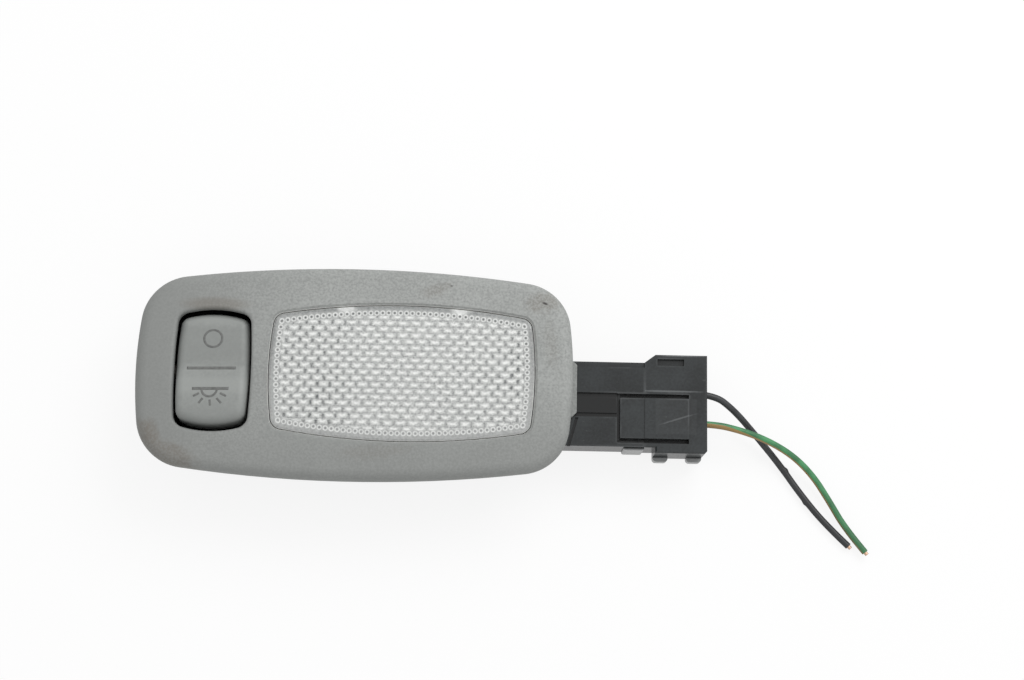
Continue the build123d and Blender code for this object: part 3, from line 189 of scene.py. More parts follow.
# Pale lines on the plug: scratch marks, and painted highlight along the edge of the rail north of the latch arm
PLUG_SCRATCHES_AND_HIGHLIGHTS = (
    ((0.0718, -0.0076, 0.0125), 0.0052, (1.0, 0.050, 1.0), 0.315, 0.25, 0.0006, 0.32),
    ((0.0700, -0.0013, 0.0120), 0.0098, (1.0, 0.030, 1.0), 0.0, 0.25, 0.0006, 0.5),
    ((0.0728, 0.0068, 0.0119), 0.0066, (1.0, 0.040, 1.0), 0.0, 0.25, 0.0006, 0.5),
)
# Share of its reach within which a spot is whole
SPOT_CORE = 0.35

# Areas of the dark plastics seen from above, in metres: their west, east, south and north edges
# Channel between the ribs, painted dark as shade in its recess
SHADED_CHANNEL = (0.0476, 0.0582, -0.0073, -0.0019)
# Lug and feet, painted pale as a reflection of the floor
LUG = (0.0560, 0.0680, -0.0200, -0.0143)
FEET = (0.0600, 0.0790, -0.0200, -0.0154)
LATCH_ARM = (0.0668, 0.0760, -0.0110, -0.0030)
# Half the width over which such an area, or the painted shade on the pivot pins, fades out
AREA_EDGE = 0.0002
PIN_EDGE = 0.00005

# Where the bezel gets darker towards its west end and its south side, painted shade away from the light, in metres
WEST_FALL, WEST_DEPTH = (-0.05, -0.005), 0.85
SOUTH_FALL, SOUTH_DEPTH = (-0.024, 0.004), 0.66
# Bands of painted highlight (pale) and painted shade (grey) along the button's curved top, in millimetres from its
# pivot
PALE_MIDDLE, PALE_REACH, PALE_NORTH = -3.6, (0.8, 2.6), (9.4, 11.6)
GREY_START, GREY_END, GREY_SOUTH = (-0.6, 4.0), (8.5, 10.5), (-9.8, -7.2)

# Span that most values of a noise keep to, and rays for each look into a crevice
NOISE_SPAN = (0.3, 0.7)
CREVICE_SAMPLES = 8

# Camera's place and turn in the row frame, fitted to the outlines, in metres
CAMERA_POSE = (
    (0.99962751, -0.02136144, -0.01698605, 0.02727),
    (0.01769502, 0.98113498, -0.19251243, -0.07220),
    (0.02077795, 0.19214016, 0.98114751, 0.42908),
    (0.0, 0.0, 0.0, 1.0),
)
SENSOR_WIDTH = 36.0
# Floor: half its width, points along a side, its level, and how much of it is plain white to the camera
FLOOR_REACH = 1.5
FLOOR_POINTS = 7
FLOOR_LEVEL = -0.0001
FLOOR_WHITE = 0.85
# Large lamp: its place, the place it points at, its length and width, in metres
KEY_PLACE = (0.30, 0.38, 0.50)
KEY_AIM = (0.02, 0.0, 0.01)
KEY_SIZE = (0.5, 0.35)


def colour(name, words, value):
    """Colour property with its name, description and default."""
    return FloatVectorProperty(
        name=name, description=words, default=value, size=3, subtype="COLOR", min=0, max=1
    )


def length(name, words, value):
    """Length property in metres with its name, description and default."""
    return FloatProperty(name=name, description=words, default=value, subtype="DISTANCE", unit="LENGTH")


class LightPlastics(bpy.types.PropertyGroup):
    """Colours of the moulded pieces and of the soil on them."""

    bezel: colour("Bezel", "Grey of the bezel", (0.300, 0.310, 0.300))
    button: colour("Button", "Grey of the switch button", (0.262, 0.274, 0.264))
    # This brown is also painted as shade along the button's well and, darker, on the pivot pins
    soil: colour("Soil", "Brown soil rubbed into the bezel", (0.13, 0.10, 0.07))
    # Painted light: pale paint on the wall of the gap round the lens, which would otherwise be in shade
    painted_gap_light: colour("Dust", "Pale dust in the gap round the lens", (0.78, 0.78, 0.76))
    scratch: colour("Scratch", "Dark scratch on the bezel", (0.045, 0.04, 0.038))
    housing: colour("Housing", "Dark grey of the rear housing", (0.017, 0.020, 0.021))
    plug: colour("Plug", "Dark grey of the plug", (0.019, 0.022, 0.023))
    # Also painted highlight on sharp edges and along the plug's rail
    scuff_and_highlight: colour("Scuff", "Pale scuffs on the dark plastics", (0.20, 0.21, 0.215))
    # Painted reflection: pale paint on the feet and the lug, standing in for the white floor's reflection
    painted_reflection: colour("Rubbed", "Rubbed feet and lug of the dark plastics", (0.33, 0.34, 0.34))
    sign: colour("Signs", "Print on the switch button", (0.105, 0.108, 0.104))
    reflector: colour("Reflector", "White of the reflector", (0.86, 0.86, 0.85))


class LightMetals(bpy.types.PropertyGroup):
    """Colours of the metal and clear pieces."""

    lens: colour("Lens", "Brightest tone of the lens", (0.97, 0.98, 0.96))
    lens_dim: colour("Lens, dim", "Darkest tone of the lens", (0.10, 0.11, 0.11))
    glass: colour("Bulb", "Tint of the bulb's glass", (0.99, 0.99, 0.99))
    brass: colour("Brass", "Brass of the strips", (0.74, 0.56, 0.26))
    steel: colour("Steel", "Steel of the springs", (0.56, 0.56, 0.57))
    cap: colour("Caps", "Metal of the bulb's caps", (0.76, 0.76, 0.77))


class LightWires(bpy.types.PropertyGroup):
    """Sizes and colours of the two wires."""

    diameter: length("Diameter", "Outside diameter of a wire", 1.5 * MM)
    core: length("Bare end", "Length of bare core at the cut end", 0.7 * MM)
    burr: length("Burr", "Height of the nicks on the black wire", 0.22 * MM)
    black: colour("Black", "Sleeve of the black wire", (0.024, 0.026, 0.028))
    green: colour("Green", "Sleeve of the green wire", (0.050, 0.215, 0.085))
    tracer: colour("Tracer", "Brown stripe along the green wire", (0.31, 0.195, 0.068))
    copper: colour("Copper", "Bare core", (0.62, 0.42, 0.30))


class LightSigns(bpy.types.PropertyGroup):
    """Sizes of the signs on the switch button."""

    stroke: length("Stroke", "Width of the ring and the rays", 0.56 * MM)
    bar: length("Bar", "Width of the two bars", 0.78 * MM)
    lift: length("Lift", "Height of the print above the button", 0.02 * MM)
    ring: length("Ring", "Radius of the ring", 1.95 * MM)


class LightStage(bpy.types.PropertyGroup):
    """Camera, floor and lamps."""

    floor: colour("Floor", "Colour of the floor", (0.93, 0.93, 0.93))
    key: FloatProperty(name="Key lamp", description="Power of the large lamp", default=2.3, unit="POWER")
    sky: FloatProperty(
        name="Sky", description="Strength of the even light from all round", default=0.72, min=0
    )
    blaze: FloatProperty(
        name="Blaze", description="Brightness of the floor in reflections", default=0.6, min=0
    )
    focal: FloatProperty(name="Focal length", description="Camera's focal length in mm", default=66.586)


def rgba(value):
    """Colour with full alpha, as a shader socket holds it."""
    return (value[0], value[1], value[2], 1.0)


def shaded(value, gain):
    """The same colour, lighter or darker by gain."""
    return tuple(min(1.0, channel * gain) for channel in value)


class Signal:
    """A shader socket that joins in Python expressions: each operator adds the Math node it stands for."""

    def __init__(self, tree, socket=None):
        self.tree = tree
        self.socket = socket

    def node(self, kind, settings=None, sockets=None, out=0):
        """Adds a node: its settings first, then the values or links of its sockets; gives one output."""
        made = self.tree.nodes.new(kind)
        for key, value in (settings or {}).items():
            setattr(made, key, value)
        for key, value in (sockets or {}).items():
            if isinstance(value, Signal):
                self.tree.links.new(value.socket, made.inputs[key])
            else:
                made.inputs[key].default_value = value
        return Signal(self.tree, made.outputs[out])

    def output(self, name):
        """Another output of the node that this signal comes from."""
        return Signal(self.tree, self.socket.node.outputs[name])

    def math(self, operation, other=0.0):
        """Math node on this value and another."""
        return self.node("ShaderNodeMath", {"operation": operation}, {0: self, 1: other})

    def __add__(self, other):
        return self.math("ADD", other)

    __radd__ = __add__

    def __sub__(self, other):
        return self.math("SUBTRACT", other)

    def __rsub__(self, other):
        return self.node("ShaderNodeMath", {"operation": "SUBTRACT"}, {0: other, 1: self})

    def __mul__(self, other):
        return self.math("MULTIPLY", other)

    __rmul__ = __mul__

    def __truediv__(self, other):
        return self.math("DIVIDE", other)

    def __pow__(self, other):
        return self.math("POWER", other)

    def __abs__(self):
        return self.math("ABSOLUTE")

    def floor(self):
        """The whole number below this value."""
        return self.math("FLOOR")

    def fraction(self):
        """What this value has over the whole number below it."""
        return self.math("FRACT")

    def upper(self, other):
        """The larger of two values."""
        return self.math("MAXIMUM", other)

    def lower(self, other):
        """The smaller of two values."""
        return self.math("MINIMUM", other)

    def axes(self):
        """The X and the Y of this vector."""
        split = self.node("ShaderNodeSeparateXYZ", None, {0: self})
        return split, split.output("Y")

    def fade(self, start, end, at_start=1.0, at_end=0.0):
        """Smooth step between two values of this signal, down from 1 to 0 unless told otherwise."""
        return self.node(
            "ShaderNodeMapRange",
            {"interpolation_type": "SMOOTHSTEP"},
            {"Value": self, "From Min": start, "From Max": end, "To Min": at_start, "To Max": at_end},
        )

    def rise(self, start, end, top=1.0):
        """Smooth step up from 0 to top."""
        return self.fade(start, end, 0.0, top)

    def blend(self, first, second):
        """Colour mixed from first to second by this signal."""
        return self.node("ShaderNodeMix", {"data_type": "RGBA"}, {0: self, 6: first, 7: second}, out=2)

    def mottle(self, base, high, low):
        """Base colour, brighter or darker by the gain high where this noise is high and by low where it is low."""
        return self.fade(*NOISE_SPAN).blend(rgba(shaded(base, high)), rgba(shaded(base, low)))


class Finish:
    """A material with one Principled shader, its Object coordinates and the noises that plastics and metals need."""

    def __init__(self, name, **constants):
        self.material = bpy.data.materials.new(name)
        self.material.use_nodes = True
        self.tree = self.material.node_tree
        self.tree.nodes.clear()
        self.signal = Signal(self.tree)
        self.output = self.tree.nodes.new("ShaderNodeOutputMaterial")
        self.shader = self.tree.nodes.new("ShaderNodeBsdfPrincipled")
        self.tree.links.new(self.shader.outputs[0], self.output.inputs[0])
        for key, value in constants.items():
            self.shader.inputs[key.replace("_", " ")].default_value = value
        self.place = self.signal.node("ShaderNodeTexCoord", out="Object")

    def noise(self, size, detail=3.0, roughness=0.55, squash=(1.0, 1.0, 1.0)):
        """Noise whose grain is about size metres, stretched by squash."""
        mapped = self.signal.node("ShaderNodeMapping", None, {"Vector": self.place, "Scale": squash})
        return self.signal.node(
            "ShaderNodeTexNoise",
            None,
            {"Vector": mapped, "Scale": 1.0 / size, "Detail": detail, "Roughness": roughness},
        )

    def spot(self, centre, reach, stretch, turn, ragged, grain):
        """Soft spot around centre, stretched, turned and with a ragged edge: 1 inside and 0 outside."""
        moved = self.signal.node(
            "ShaderNodeVectorMath", {"operation": "SUBTRACT"}, {0: self.place, 1: centre}
        )
        turned = self.signal.node(
            "ShaderNodeMapping",
            {"vector_type": "TEXTURE"},
            {"Vector": moved, "Rotation": (0.0, 0.0, turn), "Scale": stretch},
        )
        distance = self.signal.node("ShaderNodeVectorMath", {"operation": "LENGTH"}, {0: turned}, out="Value")
        if ragged:
            distance = distance + (self.noise(grain) - 0.5) * (2.0 * ragged * reach)
        return distance.fade(SPOT_CORE * reach, reach)

    def spots(self, rows):
        """Several spots together, each as deep in tone as the last value of its row; the deepest one shows."""
        whole = None
        for *row, depth in rows:
            one = self.spot(*row) * depth
            whole = one if whole is None else whole.upper(one)
        return whole

    def patch(self, west, east, south, north, soft):
        """Area seen from above between two places along and two across: 1 inside, 0 outside, soft at its edges."""
        x, y = self.place.axes()
        along = x.rise(west - soft, west + soft) * x.fade(east - soft, east + soft)
        return along * y.rise(south - soft, south + soft) * y.fade(north - soft, north + soft)

    def crevice(self, reach, inside):
        """How open the surface is within reach: lower in a corner, or at a sharp edge where inside is set."""
        return self.signal.node(
            "ShaderNodeAmbientOcclusion",
            {"inside": inside, "samples": CREVICE_SAMPLES},
            {"Distance": reach},
            out="AO",
        )

    def bump(self, height, strength, distance):
        """Bump from a height signal, joined to the shader's normal."""
        normal = self.signal.node(
            "ShaderNodeBump", None, {"Height": height, "Strength": strength, "Distance": distance}
        )
        self.feed("Normal", normal)

    def feed(self, socket, signal):
        """Joins a signal to one of the shader's sockets."""
        self.tree.links.new(signal.socket, self.shader.inputs[socket])

    def dress(self, *names):
        """Gives the finish to CAD nodes by name."""
        for name in names:
            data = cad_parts[name].data
            data.materials.clear()
            data.materials.append(self.material)


def new_piece(name, vertices, faces, material, body, uv=None):
    """Mesh object at the origin from whole arrays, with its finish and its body."""
    data = bpy.data.meshes.new(name)
    data.from_pydata(vertices.tolist(), [], faces)
    if uv is not None:
        layer = data.uv_layers.new(name=WIRE_UV)
        layer.data.foreach_set("uv", uv.astype(np.float32).ravel())
    data.polygons.foreach_set("use_smooth", np.ones(len(data.polygons), dtype=bool))
    data.materials.append(material)
    data.update()
    piece = bpy.data.objects.new(name, data)
    bpy.context.scene.collection.objects.link(piece)
    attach(piece, body)
    return piece


def grid_faces(rows, columns, wrap_columns=False):
    """Quads of a grid of rows by columns, joined round where wrap_columns is set."""
    row, column = np.meshgrid(
        np.arange(rows - 1), np.arange(columns if wrap_columns else columns - 1), indexing="ij"
    )
    after = (column + 1) % columns
    here, above = row * columns, (row + 1) * columns
    quads = np.stack([here + column, here + after, above + after, above + column], axis=-1)
    return quads.reshape(-1, 4)


def spline_points(route):
    """Points of the smooth line that has the route as its control points."""
    data = bpy.data.curves.new("wire_line", "CURVE")
    data.dimensions = "3D"
    data.resolution_u = LINE_STEPS
    spline = data.splines.new("NURBS")
    spline.points.add(len(route) - 1)
    for point, place in zip(spline.points, route):
        point.co = (place[0] * MM, place[1] * MM, place[2] * MM, 1.0)
    spline.order_u = 3
    spline.use_endpoint_u = True
    line = bpy.data.objects.new("wire_line", data)
    mesh = bpy.data.meshes.new_from_object(line)
    places = np.empty(len(mesh.vertices) * 3)
    mesh.vertices.foreach_get("co", places)
    bpy.data.meshes.remove(mesh)
    bpy.data.objects.remove(line)
    bpy.data.curves.remove(data)
    return places.reshape(-1, 3)


def lengths_along(path):
    """Length of the path from its start up to each of its points."""
    return np.concatenate([[0], np.cumsum(np.linalg.norm(np.diff(path, axis=0), axis=1))])


def wire_tube(path, radii):
    """Tube: each point of the path carries a ring, its radius a function of place along and angle round.

    The ring lies across the path, in the plane of a level side vector and the vector above it.
    """
    tangent = np.gradient(path, axis=0)
    tangent /= np.linalg.norm(tangent, axis=1, keepdims=True)
    side = np.cross(tangent, (0.0, 0.0, 1.0))
    side /= np.linalg.norm(side, axis=1, keepdims=True)
    over = np.cross(side, tangent)
    rows, columns = radii.shape
    angle = np.linspace(0, 2 * np.pi, columns, endpoint=False)[None, :, None]
    ring = np.cos(angle) * side[:, None, :] + np.sin(angle) * over[:, None, :]
    vertices = (path[:, None, :] + radii[:, :, None] * ring).reshape(-1, 3)
    along = lengths_along(path)
    quads = grid_faces(rows, columns, wrap_columns=True)[:, ::-1]
    row, column = np.meshgrid(np.arange(rows - 1), np.arange(columns), indexing="ij")
    u = np.stack([column, column + 1, column + 1, column], axis=-1)[..., ::-1].reshape(-1, 4) / columns
    v = along[np.stack([row, row, row + 1, row + 1], axis=-1)][..., ::-1].reshape(-1, 4)
    start = np.arange(columns)
    end = (rows - 1) * columns + start[::-1]
    uv = np.concatenate(
        [
            np.stack([u, v], axis=-1).reshape(-1, 2),
            np.stack([start / columns, np.full(columns, along[0])], axis=-1),
            np.stack([start[::-1] / columns, np.full(columns, along[-1])], axis=-1),
        ]
    )
    faces = quads.tolist() + [start.tolist(), end.tolist()]
    return vertices, faces, uv, along[-1]


class LIGHT_OT_wires(bpy.types.Operator):
    """Makes the two wires, each one tube along its smooth line, with a bare core at its cut end"""

    bl_idname = "light.wires"
    bl_label = "Wires"

    def sleeve(self, name, base, tracer, settings, whole):
        """Sleeve finish: mottled, darker towards the cut end, with a tracer on one side and copper past the cut."""
        finish = Finish(name)
        around, along = finish.signal.node("ShaderNodeUVMap", {"uv_map": WIRE_UV}).axes()
        cloud = finish.noise(0.0035, detail=4.0)
        sleeve = cloud.mottle(base, high=1.25, low=0.68)
        if tracer is not None:
            apart = abs((around + 0.5).fraction() - TRACER_TURN) + (finish.noise(0.002) - 0.5) * 0.05
            wider = along.fade(*TRACER_WIDE_LENGTH, TRACER_EXTRA, 0.0)
            sleeve = (apart - wider).fade(*TRACER_EDGE).blend(sleeve, rgba(tracer))
        darker_end = along.rise(DARKER_END_SPAN[0] * whole, DARKER_END_SPAN[1] * whole, 0.5)
        sleeve = darker_end.blend(sleeve, rgba(shaded(base, 0.45)))
        bare = along.rise(whole - 1.05 * settings.core, whole - 0.95 * settings.core)
        finish.feed("Base Color", bare.blend(sleeve, rgba(settings.copper)))
        finish.feed("Metallic", bare)
        finish.feed("Roughness", 0.36 + cloud * 0.16)
        finish.bump(finish.noise(0.0009, detail=2.0), strength=0.25, distance=0.00005)
        return finish.material

    def wire(self, name, route, base, tracer, slot, nicks):
        """One wire: path read from its line, radius with a bell-shaped nick here and there, narrower at the core."""
        settings = bpy.context.scene.light_wires
        line = spline_points(route)
        steps = lengths_along(line)
        whole = steps[-1]
        radius = settings.diameter / 2
        cut = whole - settings.core
        wanted = np.concatenate(
            [
                np.linspace(0, cut - BEFORE_CUT, SLEEVE_ROWS),
                [cut, cut + CUT_STEP],
                np.linspace(cut + AFTER_CUT, whole, CORE_ROWS),
            ]
        )
        path = np.stack([np.interp(wanted, steps, line[:, axis]) for axis in range(3)], axis=-1)
        angle = np.linspace(0, 2 * np.pi, WIRE_COLUMNS, endpoint=False)
        radii = np.where(wanted > cut, CORE_SHARE * radius, radius)[:, None] * np.ones((1, WIRE_COLUMNS))
        for place, turn, size in nicks:
            near = np.exp(-(((wanted - place * whole) / NICK_REACH) ** 2))[:, None]
            facing = np.maximum(0, np.cos(angle - turn))[None, :] ** 3
            radii = radii + settings.burr * size * near * facing
        vertices, faces, uv, tube_length = wire_tube(path, radii)
        material = self.sleeve(name + "_sleeve", base, tracer, settings, tube_length)
        piece = new_piece(name + "_sleeve", vertices, faces, material, "lamp", uv)
        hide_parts(name)

    def execute(self, context):
        colours = context.scene.light_wires
        self.wire("black_wire", BLACK_ROUTE, colours.black, None, "black_sleeve", BLACK_NICKS)
        self.wire("green_wire", GREEN_ROUTE, colours.green, colours.tracer, "green_sleeve", ())
        return {"FINISHED"}


def button_top(u):
    """Height of the button's top over its pivot: a round dip in the middle that runs into a round pad each side."""
    reach = np.abs(u)
    radii_sum = (CREST_OFFSET**2 + VALLEY_DIP**2) / (2 * VALLEY_DIP)
    pad_r = radii_sum - VALLEY_R
    dip_end = VALLEY_R * CREST_OFFSET / radii_sum
    dip = CREST_RISE - VALLEY_DIP + VALLEY_R - np.sqrt(VALLEY_R**2 - np.minimum(reach, dip_end) ** 2)
    pad = CREST_RISE - pad_r + np.sqrt(pad_r**2 - (reach - CREST_OFFSET) ** 2)
    return np.where(reach < dip_end, dip, pad)


def on_button(x, u, lift):
    """Place in the row frame, in metres, of a point lift above the button's top, the button at rest."""
    v = button_top(u) + lift
    y = u * np.cos(ROCKER_TILT) + v * np.sin(ROCKER_TILT)
    z = PIVOT_Z - u * np.sin(ROCKER_TILT) + v * np.cos(ROCKER_TILT)
    return np.stack([ROCKER_X + x, y, z], axis=-1) * MM


def sign_line(path, width, lift, closed):
    """Flat bar of that width carried along a path on the button, its section four corners, in millimetres."""
    if closed:
        tangent = np.roll(path, -1, axis=0) - np.roll(path, 1, axis=0)
    else:
        tangent = np.gradient(path, axis=0)
    tangent = tangent / np.linalg.norm(tangent, axis=1, keepdims=True)
    across = np.stack([-tangent[:, 1], tangent[:, 0]], axis=-1)
    sides = np.array(SIGN_SECTION) * width
    lifts = np.array([SIGN_SUNK, lift, lift, SIGN_SUNK])
    flat = path[:, None, :] + across[:, None, :] * sides[None, :, None]
    lifts = np.broadcast_to(lifts, flat.shape[:2])
    vertices = on_button(flat[..., 0], flat[..., 1], lifts).reshape(-1, 3)
    rows = len(path)
    sections = np.arange(rows * 4).reshape(rows, 4)
    loop = np.concatenate([sections, sections[:1]]) if closed else sections
    quads = np.stack(
        [loop[:-1], np.roll(loop[:-1], -1, axis=1), np.roll(loop[1:], -1, axis=1), loop[1:]], axis=-1
    ).reshape(-1, 4)
    caps = [] if closed else [sections[0].tolist(), sections[-1][::-1].tolist()]
    return vertices, quads[:, ::-1].tolist() + caps


def on_circle(angles, centre, radius):
    """Points of a circle at the given angles."""
    return centre + radius * np.stack([np.cos(angles), np.sin(angles)], axis=-1)


def straight(start, end):
    """Points of a straight line, evenly spaced."""
    step = np.linspace(0, 1, BAR_POINTS)[:, None]
    return np.array(start) * (1 - step) + np.array(end) * step


class LIGHT_OT_signs(bpy.types.Operator):
    """Prints the switch's signs on the button: ring, dividing bar and a lamp with rays"""

    bl_idname = "light.signs"
    bl_label = "Switch signs"

    def execute(self, context):
        sizes = context.scene.light_signs
        stroke = sizes.stroke / MM
        bar = sizes.bar / MM
        full_turn = np.linspace(0, 2 * np.pi, RING_POINTS, endpoint=False)
        half_turn = np.linspace(np.pi, 2 * np.pi, ARCH_POINTS)
        lines = [
            (on_circle(full_turn, RING_PLACE, sizes.ring / MM), stroke, True),
            (straight(*MIDDLE_BAR), bar, False),
            (straight(*LAMP_BAR), bar, False),
            (on_circle(half_turn, LAMP_PLACE, LAMP_R), stroke, False),
        ]
        lines += [(straight(*ray), stroke, False) for ray in LAMP_RAYS]
        vertices, faces, count = [], [], 0
        for path, width, closed in lines:
            places, line_faces = sign_line(path, width, sizes.lift / MM, closed)
            vertices.append(places)
            faces += [[corner + count for corner in face] for face in line_faces]
            count += len(places)
        finish = Finish("switch_print")
        worn = finish.noise(0.0006, detail=4.0).fade(0.35, 0.75)
        sign = context.scene.light_plastics.sign
        finish.feed("Base Color", worn.blend(rgba(shaded(sign, 0.9)), rgba(shaded(sign, 1.5))))
        finish.feed("Roughness", 0.55 + worn * 0.2)
        finish.bump(finish.noise(0.0003), strength=0.15, distance=0.00002)
        new_piece(
            "switch_print", np.concatenate(vertices), faces, finish.material, "rocker"
        )
        return {"FINISHED"}


def lens_place(finish):
    """Places along and across from the middle of the lens, in millimetres."""
    x, y = finish.place.axes()
    return x / MM - LENS_X, y / MM


def outline_sides(x, y):
    """Depth inside the lens opening and place along its edge, for each of the four round discs that make it."""
    sides = []
    for way in (1.0, -1.0):
        for across, along, radius, half in (
            (y, x, LENS_SIDE_R, LENS_WIDTH / 2),
            (x, y, LENS_END_R, LENS_LENGTH / 2),
        ):
            out = across * way + (radius - half)
            depth = radius - (out * out + along * along) ** 0.5
            sides.append((depth, along.math("ARCTAN2", out) * radius))
    return sides


def nearest_side(sides):
    """Depth inside the nearest of the discs: the smallest of their depths."""
    nearest = sides[0][0]
    for depth, _ in sides[1:]:
        nearest = nearest.lower(depth)
    return nearest


def corner_centre():
    """Centre of the round corner of the lens opening: as far inside the side's disc as inside the end's disc."""
    side = np.array([0.0, LENS_WIDTH / 2 - LENS_SIDE_R])
    end = np.array([LENS_LENGTH / 2 - LENS_END_R, 0.0])
    apart = np.linalg.norm(end - side)
    along = (end - side) / apart
    over = np.array([along[1], -along[0]])
    reach = LENS_SIDE_R - LENS_CORNER_R
    step = (reach**2 - (LENS_END_R - LENS_CORNER_R) ** 2 + apart**2) / (2 * apart)
    return side + step * along + np.sqrt(reach**2 - step**2) * over


def opening_depth(x, y, nearest):
    """Depth inside the lens opening, its round corners with it: above 0 inside and below 0 outside."""
    corner_x, corner_y = (float(place) for place in corner_centre())
    past_x = abs(x) - corner_x
    past_y = abs(y) - corner_y
    side_slope = corner_x / (corner_y + LENS_SIDE_R - LENS_WIDTH / 2)
    end_slope = corner_y / (corner_x + LENS_END_R - LENS_LENGTH / 2)
    in_corner = (past_x - past_y * side_slope).rise(*CORNER_EDGE)
    in_corner = in_corner * (past_y - past_x * end_slope).rise(*CORNER_EDGE)
    rounded = LENS_CORNER_R - (past_x * past_x + past_y * past_y) ** 0.5
    return nearest.lower(rounded + (1.0 - in_corner) * LENS_LENGTH)


class LIGHT_OT_bezel(bpy.types.Operator):
    """Finishes the bezel and the button: grained grey plastic with soil and marks, painted light and shade, and
    pivots painted dark as shade
    """

    bl_idname = "light.bezel"
    bl_label = "Bezel and button"

    def bezel(self, colours):
        """Bezel finish: grained, painted shade to the west and south and along the button's well, soil spots, marks,
        and its wall round the lens painted pale as light in the gap.
        """
        finish = Finish("bezel_plastic")
        grain = finish.noise(0.0005)
        plain = (finish.noise(0.018, detail=4.0) * 0.25 + grain * 0.75).mottle(colours.bezel, high=0.82, low=1.20)
        x, y = finish.place.axes()
        # Painted shade: the bezel darker towards its west end and its south side
        far = (x.fade(*WEST_FALL) * WEST_DEPTH).upper(y.fade(*SOUTH_FALL) * SOUTH_DEPTH)
        base = far.blend(plain, rgba(shaded(colours.bezel, 0.72)))
        soil = finish.spots(SOIL_SPOTS)
        dotted = soil * grain.fade(0.35, 0.62, 0.6, 1.0)
        # Painted shade along the button's well, in the soil's colour, joined with the real soil spots
        soiled_and_shaded = finish.spots(WELL_SHADE).upper(dotted).blend(base, rgba(colours.soil))
        marked = finish.spots(DARK_MARKS).blend(soiled_and_shaded, rgba(colours.scratch))
        x, y = lens_place(finish)
        # Painted light: the wall of the gap round the lens painted pale
        gap_painted_light = opening_depth(x, y, nearest_side(outline_sides(x, y))).rise(*GAP_LIGHT_DEPTH)
        finish.feed("Base Color", gap_painted_light.blend(marked, rgba(colours.painted_gap_light)))
        finish.feed("Roughness", 0.56 + grain * 0.12 + soil * 0.15)
        finish.bump(grain * 0.7 + finish.noise(0.00028, detail=2.0) * 0.3, strength=0.35, distance=0.00006)
        finish.dress("bezel")

    def button(self, colours):
        """Button finish: grained, with bands of painted highlight and painted shade along it, and its pivot pins
        painted dark as shade.
        """
        finish = Finish("button_plastic")
        grain = finish.noise(0.0007)
        worn = (finish.noise(0.006, detail=4.0) * 0.5 + grain * 0.5).mottle(colours.button, high=0.90, low=1.06)
        along = finish.place.axes()[1] / MM
        # Painted highlight and painted shade: bands where the button's top faces towards or away from the light
        pale = abs(along - PALE_MIDDLE).fade(*PALE_REACH) * 0.55
        pale = pale.upper(along.rise(*PALE_NORTH, 0.7))
        grey = along.rise(*GREY_START, 0.55) * along.fade(*GREY_END)
        grey = grey.upper(along.fade(*GREY_SOUTH) * 0.5)
        toned = grey.blend(worn, rgba(shaded(colours.button, 0.80)))
        toned = pale.blend(toned, rgba(shaded(colours.button, 1.16)))
        # Pivot pins painted dark: painted shade in the gap beside the button
        west = (ROCKER_X - ROCKER_HALF_WIDTH) * MM
        east = (ROCKER_X + ROCKER_HALF_WIDTH) * MM
        reach, half = PIN_REACH * MM, PIN_HALF_WIDTH * MM
        pins = finish.patch(west - reach, west, -half, half, PIN_EDGE)
        pins = pins.upper(finish.patch(east, east + reach, -half, half, PIN_EDGE))
        finish.feed("Base Color", pins.blend(toned, rgba(shaded(colours.soil, 0.15))))
        finish.feed("Roughness", 0.46 + grain * 0.14)
        finish.bump(grain, strength=0.25, distance=0.00004)
        finish.dress("rocker_button")

    def execute(self, context):
        colours = context.scene.light_plastics
        self.bezel(colours)
        self.button(colours)
        return {"FINISHED"}


class LIGHT_OT_connector(bpy.types.Operator):
    """Finishes the rear housing and the plug: satin dark plastic with pale scuffs, painted shade and highlight, and
    feet and lug painted pale as reflection
    """

    bl_idname = "light.connector"
    bl_label = "Housing and plug"

    def plastic(self, name, base, colours, areas, pale_lines):
        """Dark plastic: mottled, grained, with painted shade in its gaps, pale edges that are partly wear and partly
        painted highlight, scuffs, and the areas and pale lines given.
        """
        finish = Finish(name, IOR=1.46)
        scuff_and_highlight = rgba(colours.scuff_and_highlight)
        grain = finish.noise(0.0006)
        cloud = finish.noise(0.009, detail=5.0)
        plain = (cloud * 0.6 + grain * 0.4).mottle(base, high=0.45, low=1.6)
        # Painted shade: darker in crevices and gaps, where less light comes in
        tight = finish.crevice(0.0016, False).fade(0.25, 0.75)
        crevice_shaded = tight.blend(plain, rgba(shaded(base, 0.25)))
        # Pale on sharp edges, patchy: partly wear, partly painted highlight
        worn_and_lit_edge = finish.crevice(0.0006, True).fade(0.62, 0.95) * cloud.rise(0.42, 0.62, 0.22)
        toned = worn_and_lit_edge.blend(crevice_shaded, scuff_and_highlight)
        for limits, shade, depth in areas:
            toned = (finish.patch(*limits, AREA_EDGE) * depth).blend(toned, rgba(shade))
        # Pale streaks and given pale lines: scuffs, scratch marks and painted highlight along the rail
        streak = finish.noise(0.0011, detail=5.0, roughness=0.7, squash=(0.25, 1.0, 1.0)).rise(0.63, 0.8, 0.35)
        if pale_lines:
            streak = streak.upper(finish.spots(pale_lines))
        finish.feed("Base Color", streak.blend(toned, scuff_and_highlight))
        finish.feed("Roughness", 0.16 + grain * 0.12)
        finish.bump(grain * 0.6 + cloud * 0.4, strength=0.22, distance=0.00006)
        return finish

    def execute(self, context):
        colours = context.scene.light_plastics
        # Painted shade in the channel, and the lug painted pale as a reflection of the floor
        areas = ((SHADED_CHANNEL, shaded(colours.housing, 0.1), 0.9), (LUG, colours.painted_reflection, 0.9))
        self.plastic("housing_plastic", colours.housing, colours, areas, ()).dress("rear_housing")
        # Feet painted pale as a reflection of the floor, and a faint pale tone on the latch arm
        areas = ((FEET, colours.painted_reflection, 0.9), (LATCH_ARM, colours.scuff_and_highlight, 0.05))
        self.plastic("plug_plastic", colours.plug, colours, areas, PLUG_SCRATCHES_AND_HIGHLIGHTS).dress("plug_housing")
        return {"FINISHED"}


